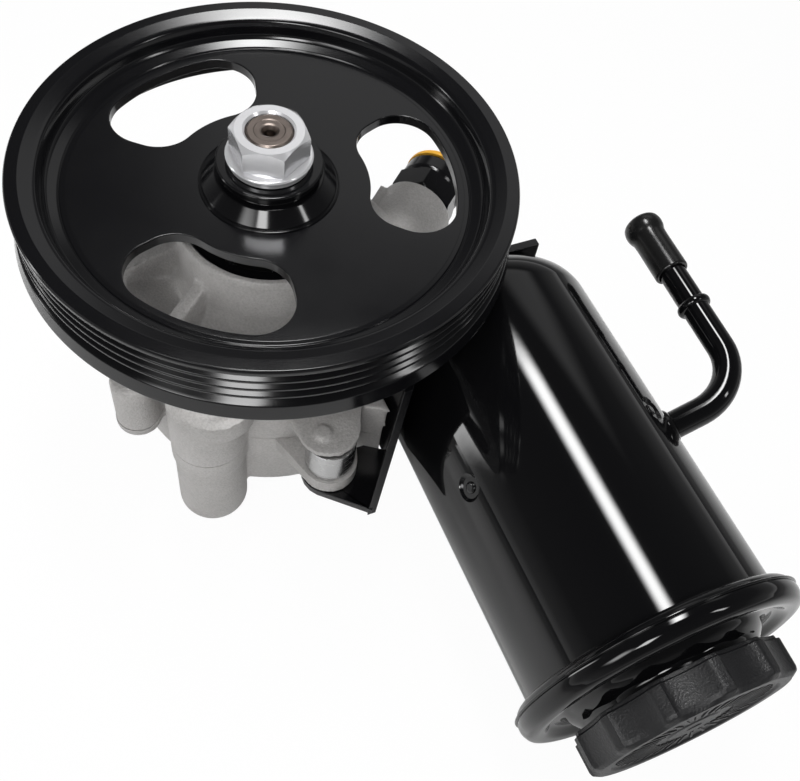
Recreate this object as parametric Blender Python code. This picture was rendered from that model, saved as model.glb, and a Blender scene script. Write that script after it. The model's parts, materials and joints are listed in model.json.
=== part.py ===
"""Power steering pump: belt pulley, vane pump and the oil reservoir on its bracket.

Metres, +Z up. The shaft runs along Z, the pump's flat rear face is at Z = 0,
the pulley is on top and the reservoir lies beside the pump with its cap towards -Y.
"""
import math

import bmesh
import bpy
from mathutils import Matrix, Vector

MM = 0.001
CLEAR = 0.3 * MM

# Belt pulley
RIM_FRONT_Z = 107.0 * MM
PULLEY_RADIUS = 75.0 * MM
PULLEY_WIDTH = 22.3 * MM
RIM_LAND = 4.0 * MM
RIM_BEVEL = 3.8 * MM
RIM_BEVEL_DROP = 1.2 * MM
RIM_FOOT_DEPTH = 13.5 * MM
RIM_WALL = 7.5 * MM
REAR_FLANGE_EXTRA = 1.0 * MM
GROOVE_COUNT = 4
GROOVE_PITCH = 3.56 * MM
GROOVE_DEPTH = 2.7 * MM
RIM_INNER_FOOT = PULLEY_RADIUS - RIM_FOOT_DEPTH
RIM_BACK_WALL = PULLEY_RADIUS - RIM_WALL
GROOVE_CREST_DROP = 0.6 * MM
FRONT_FLANGE_WIDTH = 2.3 * MM
WEB_DEPTH = 8.1 * MM
WEB_THICKNESS = 3.5 * MM
WINDOW_COUNT = 3
WINDOW_INNER = 30.3 * MM
WINDOW_MARGIN = 3.9 * MM
WINDOW_OUTER = RIM_INNER_FOOT - WINDOW_MARGIN
WINDOW_HALF_ANGLE = math.radians(32.3)
WINDOW_CORNER = 12.0 * MM
WINDOW_FIRST = math.radians(-11.6)

# Pulley hub, washer and nut
HUB_FOOT_RADIUS = 21.0 * MM
HUB_WAIST_RADIUS = 16.2 * MM
HUB_CONE_HEIGHT = 4.4 * MM
HUB_NECK_RADIUS = 14.4 * MM
HUB_NECK_HEIGHT = 2.0 * MM
HUB_COLLAR_RADIUS = 15.9 * MM
HUB_COLLAR_HEIGHT = 2.3 * MM
HUB_SPIGOT_RADIUS = 15.5 * MM
HUB_SPIGOT_DROP = 9.0 * MM
WASHER_RADIUS = 13.0 * MM
WASHER_HEIGHT = 2.9 * MM
NUT_FLATS = 20.8 * MM
NUT_HEIGHT = 8.2 * MM
NUT_TURN = math.radians(31.0)

# Shaft
THREAD_RADIUS = 7.0 * MM
THREAD_SUNK = 0.3 * MM
HUB_SEAT_RADIUS = 8.3 * MM
JOURNAL_RADIUS = 9.9 * MM
SHOULDER_RADIUS = 11.6 * MM
ROTOR_SEAT_RADIUS = 8.6 * MM
SPLINE_HEIGHT = 0.8 * MM
TAIL_RADIUS = 8.0 * MM
TAIL_END_Z = 15.0 * MM
CENTRE_HOLE_RADIUS = 1.6 * MM
CENTRE_HOLE_DEPTH = 6.0 * MM
KEY_WIDTH = 3.0 * MM
KEY_HEIGHT = 4.0 * MM
KEY_LENGTH = 9.0 * MM

# Castings
SPLIT_Z = 29.0 * MM
BODY_RADIUS = 49.3 * MM
REAR_BODY_RADIUS = 49.0 * MM
BODY_FRONT_Z = 60.0 * MM
BODY_EDGE = 3.0 * MM
SNOUT_RADIUS = 29.0 * MM
SNOUT_FRONT_Z = 85.5 * MM
SNOUT_FILLET = 7.0 * MM
SNOUT_EDGE = 0.8 * MM
FLAT_DISTANCE = 36.1 * MM
FLAT_ANGLE = math.radians(-46.2)
CAVITY_RADIUS = 33.0 * MM
CAVITY_TOP_Z = 54.0 * MM

# Long mounting boss, small bolt bosses and the bracket ear
BOSS_X = -34.0 * MM
BOSS_Y = -37.5 * MM
BOSS_RADIUS = 12.6 * MM
BOSS_BORE = 5.2 * MM
BOSS_REAR_Z = -12.8 * MM
BOSS_FRONT_Z = 55.0 * MM
BOSS_BAND_HEIGHT = 8.0 * MM
BOSS_STEP = 0.7 * MM
BOLT_BOSS_RADIUS = 7.3 * MM
BOLT_BOSS_FRONT_Z = 50.0 * MM
BOLT_BOSS_REAR_Z = 25.5 * MM
BOLT_ANGLES = (math.radians(202.08), math.radians(124.32), math.radians(63.43))
BOLT_OUTSIDE = (7.9 * MM, 6.4 * MM, 6.4 * MM)
WALL_RADIUS = max(BODY_RADIUS, REAR_BODY_RADIUS)
BOLT_PLACES = tuple(
    ((WALL_RADIUS + outside) * math.cos(angle), (WALL_RADIUS + outside) * math.sin(angle))
    for angle, outside in zip(BOLT_ANGLES, BOLT_OUTSIDE)
)
BOLT_RADIUS = 3.0 * MM
BOLT_HEAD_RADIUS = 6.0 * MM
BOLT_HEAD_HEIGHT = 1.6 * MM
BOLT_SOCKET = 3.0 * MM
BOLT_REACH = 14.0 * MM
EAR_X = 0.0 * MM
EAR_OUTSIDE = 10.4 * MM
EAR_Y = -BODY_RADIUS - EAR_OUTSIDE
EAR_RADIUS = 11.0 * MM
EAR_FACE_BACK = 2.7 * MM
EAR_FACE_Y = EAR_Y + EAR_FACE_BACK
EAR_ROOT = (3.0 * MM, -38.0 * MM)
EAR_ROOT_RADIUS = 16.0 * MM
EAR_DRAFT = 1.5 * MM
NUB_PLACE = (-2.7 * MM, -58.8 * MM)
EAR_WEB_NEAR = ((5.0, -48.0), (13.0, -53.0))
EAR_WEB_FAR_Y = (-57.5, -38.0)
EAR_WEB_ROOT = ((12.0, -36.0), (0.0, -40.0))
EAR_WEB_REAR_Z = 6.0 * MM
EAR_FRONT_Z = 46.0 * MM
EAR_THICKNESS = 3.0 * MM
EAR_RING_RADIUS = 9.2 * MM
EAR_RING_HEIGHT = 6.3 * MM
EAR_NUB_RADIUS = 3.2 * MM
EAR_NUB_HEIGHT = 1.0 * MM
BUSH_RADIUS = 8.2 * MM
BUSH_BORE = 4.4 * MM
RIB_THICKNESS = 5.0 * MM
RIB_ANGLES = (205.0, 166.0)

# Pump cartridge
CAM_RING_HEIGHT = 15.7 * MM
CAM_MEAN_RADIUS = 25.4 * MM
CAM_LIFT = 1.3 * MM
REAR_PLATE_HEIGHT = 4.7 * MM
ROTOR_RADIUS = 23.6 * MM
VANE_COUNT = 10
VANE_THICKNESS = 1.5 * MM
VANE_LENGTH = 9.6 * MM
DOWEL_RADIUS = 2.0 * MM
DOWEL_PLACE = 28.4 * MM
SNAP_RING_HEIGHT = 1.2 * MM
SNAP_RING_WIDTH = 2.0 * MM
ORING_PLACE = 34.6 * MM
ORING_RADIUS = 0.75 * MM

# Bearing and seals
BEARING_FRONT_Z = 82.2 * MM
BEARING_WIDTH = 15.0 * MM
BEARING_RADIUS = 26.0 * MM
OUTER_SHOULDER = 21.2 * MM
INNER_SHOULDER = 14.8 * MM
BALL_COUNT = 7
BALL_RADIUS = 4.6 * MM
BALL_PLACE = 18.0 * MM
CAGE_RIM = 1.2 * MM
CAGE_HALF_WIDTH = 1.6 * MM
CAGE_POST = 1.3 * MM
SHIELD_THICKNESS = 1.1 * MM
SEAL_RADIUS = 16.7 * MM
SEAL_REAR_Z = 59.8 * MM
SEAL_HEIGHT = 6.2 * MM
REAR_BUSH_RADIUS = 10.4 * MM

# Flow valve, in its own frame along the valve bore
VALVE_X = 65.0 * MM
VALVE_Y = 20.3 * MM
VALVE_Z = 45.4 * MM
VALVE_TURN = math.radians(42.0)
CHEST_RADIUS = 13.6 * MM
CHEST_LENGTH = 38.0 * MM
VALVE_BORE = 8.1 * MM
VALVE_BORE_DEPTH = 35.0 * MM
SPOOL_RADIUS = 7.8 * MM
SPOOL_LENGTH = 14.0 * MM
SPRING_LENGTH = 12.0 * MM
SPRING_RADIUS = 5.4 * MM
SPRING_WIRE = 0.8 * MM
SPRING_TURNS = 4
UNION_THREAD_DEPTH = 5.5 * MM
UNION_FLATS = 22.6 * MM
UNION_HEAD = 10.5 * MM
UNION_COLLAR = 12.0 * MM
UNION_COLLAR_HEIGHT = 7.1 * MM
UNION_BORE = 4.0 * MM
PLUG_RADIUS = 12.4 * MM
PLUG_HEIGHT = 5.5 * MM

# Reservoir, in its own frame along the can
CAN_NEAR_X = 25.7 * MM
CAN_Z = 32.4 * MM
CAN_RADIUS = 41.0 * MM
CAN_X = CAN_NEAR_X + CAN_RADIUS
CAN_WALL = 1.5 * MM
CAN_END = 20.8 * MM
CAN_CORNER = 18.0 * MM
CAN_MOUTH = 158.0 * MM
FLANGE_PROUD = 5.6 * MM
FLANGE_RADIUS = CAN_RADIUS + FLANGE_PROUD
FLANGE_START = 155.6 * MM
FLANGE_WIDTH = 9.2 * MM
FLANGE_ROUND = 4.4 * MM
DISH_RADIUS = 37.5 * MM
DISH_DEPTH = 2.5 * MM
NECK_RADIUS = 29.5 * MM
NECK_FOOT_RADIUS = 32.0 * MM
NECK_WALL = 2.0 * MM
NECK_LENGTH = 11.3 * MM
CAP_GAP = 4.3 * MM
CAP_RADIUS = 34.3 * MM
CAP_HEIGHT = 12.2 * MM
CAP_TAPER = 0.8 * MM
CAP_SCALLOPS = 12
CAP_SCALLOP_DEPTH = 1.7 * MM
CAP_RIDGE_SHARE = 0.24
CAP_TOP = 3.0 * MM
CAP_FACE_RADIUS = 26.0 * MM
CAP_FACE_DEPTH = 1.0 * MM
GASKET_HEIGHT = 1.6 * MM
DIPSTICK_RADIUS = 2.0 * MM
DIPSTICK_LENGTH = 78.0 * MM
DIMPLE_RADIUS = 4.2 * MM
DIMPLE_DEPTH = 0.9 * MM
DIMPLE_ANGLES = (51.0, 152.0, 231.0, 332.0)
DIMPLES_ALONG = 95.0 * MM

# Return tube and its rubber sleeve
TUBE_ALONG_CAN = 96.0 * MM
TUBE_ANGLE = math.radians(21.4)
TUBE_RADIUS = 4.7 * MM
TUBE_BORE = 3.6 * MM
TUBE_LEG_OUTSIDE = 28.5 * MM
TUBE_LEG_OFFSET = CAN_RADIUS + TUBE_LEG_OUTSIDE
TUBE_BEND = 18.0 * MM
TUBE_LEAN = -2.4 * MM
TUBE_TIP = 23.4 * MM
BEAD_ALONG = 37.7 * MM
BEAD_HEIGHT = 1.3 * MM
BEAD_HALF_WIDTH = 1.6 * MM
SLEEVE_RADIUS = 6.1 * MM
SLEEVE_BULB = 7.0 * MM
SLEEVE_LENGTH = 24.9 * MM

# Suction pipe
SUCTION_X = 60.0 * MM
SUCTION_Z = 20.0 * MM
SUCTION_RADIUS = 7.0 * MM
SUCTION_BORE = 5.5 * MM
SUCTION_BEND = 14.0 * MM
SUCTION_SEAT = 39.0 * MM
SUCTION_PASSAGE = 4.0 * MM

# Sheet bracket
SHEET = 3.0 * MM
FOOT_TOP_Z = 22.2 * MM
FOOT_REAR_X = 14.6 * MM
SIDE_PLATE_X = 20.5 * MM
SIDE_PLATE_SLOPE = 0.09
SIDE_PLATE_TOP_Z = 70.0 * MM
NEAR_EDGE_X = 6.3 * MM
NEAR_EDGE_TOP_X = 18.9 * MM
NEAR_EDGE_Y = -79.0 * MM
NEAR_EDGE_RAKE = 12.0 * MM
SIDE_BEND_Y = -60.0 * MM
SIDE_BEND_RAKE = 2.0 * MM
BACK_PLATE_END_X = 92.2 * MM
FOLD_OUTER = 2.0 * MM
FOLD_INNER = 0.5 * MM
BACK_PLATE_BOTTOM_Z = 2.0 * MM
BACK_PLATE_TOP_Z = 60.5 * MM
FOOT_BOLT_RADIUS = 4.0 * MM
FOOT_BOLT_FLATS = 12.0 * MM
FOOT_BOLT_HEAD = 4.0 * MM
SIDE_BOLT_RADIUS = 3.0 * MM
SIDE_BOLT_HEAD_RADIUS = 5.5 * MM
SIDE_BOLT_HEAD = 3.0 * MM
SIDE_BOLT_Z = 7.5 * MM
SIDE_BOLT_ALONG = -2.0 * MM

COARSE = 16
ROUND = 28
FINE = 40
SMALL = 12
CAP_POINTS = 5

FINISHES = {
    "cast aluminium": ((0.55, 0.54, 0.52), 0.9, 0.5),
    "machined steel": ((0.62, 0.62, 0.62), 1.0, 0.3),
    "shaft steel": ((0.30, 0.27, 0.25), 1.0, 0.4),
    "zinc plate": ((0.80, 0.80, 0.82), 1.0, 0.2),
    "gloss black": ((0.010, 0.010, 0.012), 0.0, 0.15),
    "satin black": ((0.020, 0.020, 0.022), 0.0, 0.35),
    "moulded black": ((0.025, 0.025, 0.028), 0.0, 0.7),
    "black rubber": ((0.012, 0.012, 0.012), 0.0, 0.4),
    "yellow plastic": ((0.85, 0.45, 0.03), 0.0, 0.5),
    "brass": ((0.70, 0.52, 0.22), 1.0, 0.3),
}


def clear_scene():
    for thing in list(bpy.data.objects):
        bpy.data.objects.remove(thing, do_unlink=True)


def make_finish(name):
    colour, metallic, roughness = FINISHES[name]
    material = bpy.data.materials.new(name)
    material.use_nodes = True
    shader = material.node_tree.nodes["Principled BSDF"]
    shader.inputs["Base Color"].default_value = (*colour, 1.0)
    shader.inputs["Metallic"].default_value = metallic
    shader.inputs["Roughness"].default_value = roughness
    material.diffuse_color = (*colour, 1.0)
    return material


def frame(name, location, rotation=(0.0, 0.0, 0.0)):
    """An empty that carries pieces modelled along its own Z."""
    empty = bpy.data.objects.new(name, None)
    empty.location = location
    empty.rotation_euler = rotation
    bpy.context.collection.objects.link(empty)
    return empty


def solid(name, mesh, finish=None, parent=None):
    """An object from a bmesh, with its faces pointing out."""
    bmesh.ops.recalc_face_normals(mesh, faces=mesh.faces)
    data = bpy.data.meshes.new(name)
    mesh.to_mesh(data)
    mesh.free()
    thing = bpy.data.objects.new(name, data)
    bpy.context.collection.objects.link(thing)
    thing.parent = parent
    if finish:
        data.materials.append(bpy.data.materials.get(finish) or make_finish(finish))
    return thing


def combine(base, tools, operation):
    """Join the tools to the base, or cut them from it, and remove them."""
    for tool in tools:
        tool.hide_render = True
        tool.display_type = "WIRE"
        step = base.modifiers.new(operation.title(), "BOOLEAN")
        step.operation = operation
        step.solver = "EXACT"
        step.object = tool
    bpy.context.view_layer.update()
    made = base.evaluated_get(bpy.context.evaluated_depsgraph_get())
    data = bpy.data.meshes.new_from_object(made)
    base.modifiers.clear()
    base.data = data
    for tool in tools:
        bpy.data.objects.remove(tool, do_unlink=True)
    return base


def lofted(loops, ring=False):
    """A skin through loops with equal point counts, capped at both ends or closed as a ring."""
    mesh = bmesh.new()
    rows = [[mesh.verts.new(point) for point in loop] for loop in loops]
    pairs = list(zip(rows, rows[1:]))
    if ring:
        pairs.append((rows[-1], rows[0]))
    else:
        mesh.faces.new(rows[0])
        mesh.faces.new(rows[-1])
    for low, high in pairs:
        for i in range(len(low)):
            j = (i + 1) % len(low)
            mesh.faces.new((low[i], low[j], high[j], high[i]))
    return mesh


def circle(radius, z, steps, centre=(0.0, 0.0)):
    turn = math.tau / steps
    return [
        (centre[0] + radius * math.cos(i * turn), centre[1] + radius * math.sin(i * turn), z)
        for i in range(steps)
    ]


def turned(profile, steps=ROUND, ring=False, centre=(0.0, 0.0)):
    """A lathe shape from (radius, z) points; ring is for a profile that goes all the way round."""
    return lofted([circle(r, z, steps, centre) for r, z in profile], ring)


def washer_shape(inner, outer, z0, z1, steps=ROUND, centre=(0.0, 0.0)):
    return turned([(outer, z1), (outer, z0), (inner, z0), (inner, z1)], steps, True, centre)


def rod(radius, z0, z1, steps=COARSE, centre=(0.0, 0.0)):
    return turned([(radius, z0), (radius, z1)], steps, centre=centre)


def arc(centre, radius, start, end, steps):
    """Points on an arc, from one angle to the other in degrees."""
    points = []
    for i in range(steps + 1):
        angle = math.radians(start + (end - start) * i / steps)
        points.append((centre[0] + radius * math.cos(angle), centre[1] + radius * math.sin(angle)))
    return points


def prism(outline, z0, z1):
    return lofted([[(x, y, z0) for x, y in outline], [(x, y, z1) for x, y in outline]])


def hexagon(flats, turn=0.0, centre=(0.0, 0.0)):
    reach = flats / math.sqrt(3.0)
    corners = [turn + i * math.tau / 6 for i in range(6)]
    return [(centre[0] + reach * math.cos(a), centre[1] + reach * math.sin(a)) for a in corners]


def capsule(start, end, start_radius, end_radius, steps=6):
    """The outline round two circles and their tangents, as on an ear that leaves a body."""
    x, y = end[0] - start[0], end[1] - start[1]
    heading = math.degrees(math.atan2(y, x))
    lean = math.degrees(math.acos((start_radius - end_radius) / math.hypot(x, y)))
    far = arc(end, end_radius, heading - lean, heading + lean, steps)
    near = arc(start, start_radius, heading + lean, heading + 360 - lean, steps)
    return far + near


def path_round(corners, bend, steps):
    """A route through the corners with each inner corner rounded to the bend radius."""
    points = [corners[0]]
    for before, corner, after in zip(corners, corners[1:], corners[2:]):
        back = (before - corner).normalized()
        ahead = (after - corner).normalized()
        half = back.angle(ahead) / 2
        centre = corner + (back + ahead).normalized() * bend / math.sin(half)
        first = (corner + back * bend / math.tan(half) - centre).normalized()
        last = (corner + ahead * bend / math.tan(half) - centre).normalized()
        points += [centre + first.slerp(last, i / steps) * bend for i in range(steps + 1)]
    return points + [corners[-1]]


def swept(points, radii, steps, bore=None):
    """A tube along the points; with a bore it is hollow and open at both ends."""
    def loops(sizes):
        rows = []
        for i, (point, size) in enumerate(zip(points, sizes)):
            heading = (points[min(i + 1, len(points) - 1)] - points[max(i - 1, 0)]).normalized()
            side = heading.orthogonal().normalized() if not rows else side - heading * side.dot(heading)
            side.normalize()
            other = heading.cross(side)
            angles = [math.tau * k / steps for k in range(steps)]
            rows.append([point + (side * math.cos(a) + other * math.sin(a)) * size for a in angles])
        return rows

    outer = loops(radii)
    if bore is None:
        return lofted(outer)
    return lofted(outer + loops([bore] * len(points))[::-1], True)


def rim_profile():
    """The pulley's section, from the bore round the front, the belt grooves and the back."""
    front = RIM_FRONT_Z
    back = front - PULLEY_WIDTH
    web = front - WEB_DEPTH
    bevel_radius = PULLEY_RADIUS - RIM_LAND - RIM_BEVEL
    crest = PULLEY_RADIUS - GROOVE_CREST_DROP
    root = PULLEY_RADIUS - GROOVE_DEPTH
    bore = HUB_SPIGOT_RADIUS + CLEAR
    step = bevel_radius - RIM_INNER_FOOT
    points = [(bore, web - WEB_THICKNESS), (bore, web), (RIM_INNER_FOOT, web)]
    points += [(RIM_INNER_FOOT + 0.35 * step, web + 0.08 * WEB_DEPTH)]
    points += [(RIM_INNER_FOOT + 0.55 * step, web + 0.28 * WEB_DEPTH)]
    points += [(bevel_radius, front - RIM_BEVEL_DROP), (PULLEY_RADIUS - RIM_LAND, front)]
    points += [(crest, front), (PULLEY_RADIUS, front - GROOVE_CREST_DROP)]
    points += [(PULLEY_RADIUS, front - FRONT_FLANGE_WIDTH + GROOVE_CREST_DROP)]
    for i in range(GROOVE_COUNT):
        top = front - FRONT_FLANGE_WIDTH - i * GROOVE_PITCH
        points += [(crest, top - 0.12 * GROOVE_PITCH), (root, top - 0.5 * GROOVE_PITCH)]
        points += [(crest, top - 0.88 * GROOVE_PITCH)]
    flange = front - FRONT_FLANGE_WIDTH - GROOVE_COUNT * GROOVE_PITCH
    rear_radius = PULLEY_RADIUS + REAR_FLANGE_EXTRA
    points += [(PULLEY_RADIUS, flange), (rear_radius, back + GROOVE_CREST_DROP)]
    points += [(rear_radius - GROOVE_CREST_DROP, back), (RIM_BACK_WALL, back)]
    points += [(RIM_BACK_WALL, web - WEB_THICKNESS)]
    return points


def window_outline(middle):
    """One bean window: a ring sector with round corners."""
    edge = math.degrees(WINDOW_HALF_ANGLE)
    corner = WINDOW_CORNER
    outer_centre = WINDOW_OUTER - corner
    inner_centre = WINDOW_INNER + corner
    outer_turn = edge - math.degrees(math.asin(corner / outer_centre))
    inner_turn = edge - math.degrees(math.asin(corner / inner_centre))

    def polar(radius, degrees):
        angle = math.radians(degrees)
        return (radius * math.cos(angle), radius * math.sin(angle))

    points = arc((0, 0), WINDOW_OUTER, -outer_turn, outer_turn, 8)
    points += arc(polar(outer_centre, outer_turn), corner, outer_turn, edge + 90, 7)[1:]
    points += arc(polar(inner_centre, inner_turn), corner, edge + 90, inner_turn + 180, 7)
    points += arc((0, 0), WINDOW_INNER, inner_turn, -inner_turn, 6)[1:]
    points += arc(polar(inner_centre, -inner_turn), corner, 180 - inner_turn, 270 - edge, 7)[1:]
    points += arc(polar(outer_centre, -outer_turn), corner, 270 - edge, 360 - outer_turn, 7)[:-1]
    turn = Matrix.Rotation(middle, 2)
    return [tuple(turn @ Vector(point)) for point in points]


def make_pulley():
    pulley = solid("pulley", turned(rim_profile(), FINE, True), "satin black")
    low = RIM_FRONT_Z - WEB_DEPTH - 2 * WEB_THICKNESS
    high = RIM_FRONT_Z
    middles = [WINDOW_FIRST + i * math.tau / WINDOW_COUNT for i in range(WINDOW_COUNT)]
    cutters = [solid("window_cutter", prism(window_outline(a), low, high)) for a in middles]
    return combine(pulley, cutters, "DIFFERENCE")


def hub_seat():
    return RIM_FRONT_Z - WEB_DEPTH + CLEAR


def hub_top():
    return hub_seat() + HUB_CONE_HEIGHT + HUB_NECK_HEIGHT + HUB_COLLAR_HEIGHT


def key_shape(grow):
    """The shaft key, or its slot when grown by the clearance."""
    top = hub_top() - KEY_LENGTH / 2
    half = KEY_WIDTH / 2 + grow
    reach = HUB_SEAT_RADIUS + KEY_HEIGHT / 2 + grow
    foot = HUB_SEAT_RADIUS - KEY_HEIGHT / 2 - grow
    outline = [(foot, -half), (reach, -half), (reach, half), (foot, half)]
    return prism(outline, top - KEY_LENGTH - grow, top + grow)


def make_hub():
    seat = hub_seat()
    bore = HUB_SEAT_RADIUS + CLEAR
    cone_top = seat + HUB_CONE_HEIGHT
    neck_top = cone_top + HUB_NECK_HEIGHT
    top = hub_top()
    chamfer = CLEAR
    profile = [(bore, top), (HUB_COLLAR_RADIUS - chamfer, top), (HUB_COLLAR_RADIUS, top - chamfer)]
    profile += [(HUB_COLLAR_RADIUS, neck_top), (HUB_NECK_RADIUS, neck_top), (HUB_NECK_RADIUS, cone_top)]
    profile += [(HUB_WAIST_RADIUS, cone_top), (HUB_FOOT_RADIUS, seat + chamfer), (HUB_FOOT_RADIUS, seat)]
    profile += [(HUB_SPIGOT_RADIUS, seat), (HUB_SPIGOT_RADIUS, seat - HUB_SPIGOT_DROP)]
    profile += [(bore, seat - HUB_SPIGOT_DROP)]
    hub = solid("pulley_hub", turned(profile, FINE, True), "gloss black")
    combine(hub, [solid("key_slot", key_shape(CLEAR))], "DIFFERENCE")
    solid("shaft_key", key_shape(0.0), "machined steel")


def make_nut_and_washer():
    base = hub_top() + CLEAR
    bore = THREAD_RADIUS + CLEAR
    rim = WASHER_HEIGHT / 3
    profile = [(bore, base + WASHER_HEIGHT), (0.85 * WASHER_RADIUS, base + WASHER_HEIGHT)]
    profile += [(WASHER_RADIUS, base + rim), (WASHER_RADIUS, base), (bore, base)]
    solid("pulley_washer", turned(profile, ROUND, True), "zinc plate")
    low = base + WASHER_HEIGHT + CLEAR
    high = low + NUT_HEIGHT
    nut = solid("pulley_nut", prism(hexagon(NUT_FLATS, NUT_TURN), low, high), "zinc plate")
    reach = NUT_FLATS / math.sqrt(3.0)
    flat = NUT_FLATS / 2
    drop = reach - flat
    barrel = [(flat, low), (reach, low + drop / 2), (reach, high - drop), (0.97 * flat, high)]
    combine(nut, [solid("barrel", turned(barrel, FINE))], "INTERSECT")
    combine(nut, [solid("thread_hole", rod(bore, low - BOLT_RADIUS, high + BOLT_RADIUS))], "DIFFERENCE")


def nut_top():
    return hub_top() + CLEAR + WASHER_HEIGHT + CLEAR + NUT_HEIGHT


def spline(radius, z, steps):
    """A circle whose every other point stands proud, for the shaft's splines."""
    points = circle(radius, z, steps)
    grow = 1 + SPLINE_HEIGHT / radius
    return [(x * grow, y * grow, z) if i % 2 else (x, y, z) for i, (x, y, z) in enumerate(points)]


def rotor_span():
    low = SPLIT_Z + CLEAR + REAR_PLATE_HEIGHT + 2 * CLEAR
    return low, low + CAM_RING_HEIGHT - 2 * CLEAR


def snap_ring_top():
    return rotor_span()[1] + CLEAR + SNAP_RING_HEIGHT


def make_shaft():
    tip = nut_top() - THREAD_SUNK
    low, high = rotor_span()
    shoulder = BEARING_FRONT_Z - BEARING_WIDTH - CLEAR
    seat = ROTOR_SEAT_RADIUS
    seat_foot = hub_seat() - HUB_SPIGOT_DROP - CLEAR
    steps = COARSE
    loops = [circle(TAIL_RADIUS - CLEAR, TAIL_END_Z, steps), circle(TAIL_RADIUS, TAIL_END_Z + CLEAR, steps)]
    loops += [circle(TAIL_RADIUS, low - CLEAR, steps), circle(seat, low - CLEAR, steps)]
    loops += [spline(seat - SPLINE_HEIGHT, low, steps), spline(seat - SPLINE_HEIGHT, high, steps)]
    loops += [circle(TAIL_RADIUS, high + CLEAR / 2, steps)]
    loops += [circle(TAIL_RADIUS, snap_ring_top() + CLEAR, steps)]
    loops += [circle(seat, snap_ring_top() + CLEAR, steps), circle(seat, CAVITY_TOP_Z, steps)]
    loops += [circle(JOURNAL_RADIUS, CAVITY_TOP_Z + CLEAR, steps)]
    loops += [circle(JOURNAL_RADIUS, shoulder - CLEAR, steps)]
    loops += [circle(SHOULDER_RADIUS, shoulder - CLEAR, steps)]
    loops += [circle(SHOULDER_RADIUS, shoulder, steps), circle(JOURNAL_RADIUS, shoulder, steps)]
    loops += [circle(JOURNAL_RADIUS, seat_foot - CLEAR, steps), circle(HUB_SEAT_RADIUS, seat_foot, steps)]
    loops += [circle(HUB_SEAT_RADIUS, hub_top() - CLEAR, steps), circle(THREAD_RADIUS, hub_top(), steps)]
    loops += [circle(THREAD_RADIUS, tip - 2 * CLEAR, steps), circle(THREAD_RADIUS - 2 * CLEAR, tip, steps)]
    hole = CENTRE_HOLE_RADIUS
    loops += [circle(2 * hole, tip, steps), circle(hole, tip - hole, steps)]
    loops += [circle(hole, tip - CENTRE_HOLE_DEPTH, steps)]
    shaft = solid("shaft", lofted(loops), "shaft steel")
    combine(shaft, [solid("key_seat", key_shape(CLEAR))], "DIFFERENCE")


def flat_cutter(distance, low, high):
    """A block that leaves the casting's bracket flat at the distance from the shaft."""
    reach = 2 * BODY_RADIUS
    outline = [(distance, -reach), (distance + reach, -reach), (distance + reach, reach), (distance, reach)]
    turn = Matrix.Rotation(FLAT_ANGLE, 2)
    return prism([tuple(turn @ Vector(point)) for point in outline], low, high)


def valve_matrix():
    turn = Matrix.Rotation(VALVE_TURN, 4, "Z") @ Matrix.Rotation(math.pi / 2, 4, "Y")
    return Matrix.Translation((VALVE_X, VALVE_Y, VALVE_Z)) @ turn


def moved(mesh, matrix):
    mesh.transform(matrix)
    return mesh


def rib(angle, foot):
    """A tapering rib from the snout down to the casting's outer edge."""
    half = RIB_THICKNESS / 2
    top = SNOUT_FRONT_Z - SNOUT_FILLET
    inner = SNOUT_RADIUS - 2 * half
    low = BODY_FRONT_Z - half
    section = [(inner, low), (foot, low), (foot, low + 2 * half), (inner, top)]
    loops = [[(x, y, z) for x, z in section] for y in (-half, half)]
    return moved(lofted(loops), Matrix.Rotation(math.radians(angle), 4, "Z"))


def front_bosses(low):
    """Everything that stands on the front casting's round body."""
    boss_top = [(BOSS_RADIUS, low), (BOSS_RADIUS, BOSS_FRONT_Z - BODY_EDGE)]
    boss_top += [(BOSS_RADIUS - BODY_EDGE, BOSS_FRONT_Z)]
    parts = [turned(boss_top, COARSE, centre=(BOSS_X, BOSS_Y))]
    bridge = capsule((BOSS_X / 2, BOSS_Y / 2), (BOSS_X, BOSS_Y), BOSS_RADIUS, BOSS_RADIUS - BODY_EDGE)
    parts.append(prism(bridge, low, BOSS_FRONT_Z - BODY_EDGE / 2))
    for place in BOLT_PLACES:
        parts.append(rod(BOLT_BOSS_RADIUS, low, BOLT_BOSS_FRONT_Z, SMALL, place))
        web = capsule((0.0, 0.0), place, BOLT_BOSS_RADIUS, BOLT_BOSS_RADIUS - BODY_EDGE)
        parts.append(prism(web, low, BOLT_BOSS_FRONT_Z - BODY_EDGE))
    parts += [rib(angle, BODY_RADIUS) for angle in RIB_ANGLES]
    return [solid("boss", part) for part in parts]


def ear_web(low, high):
    """The casting beside the ear, which runs up to the bracket's leaning side plate."""
    loops = []
    for z in (low, high):
        beside = (SIDE_PLATE_X - CLEAR) / MM + SIDE_PLATE_SLOPE * max(0.0, z - SPLIT_Z) / MM
        far = tuple((beside, y) for y in EAR_WEB_FAR_Y)
        loops.append([(x * MM, y * MM, z) for x, y in EAR_WEB_NEAR + far + EAR_WEB_ROOT])
    return lofted(loops)


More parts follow.
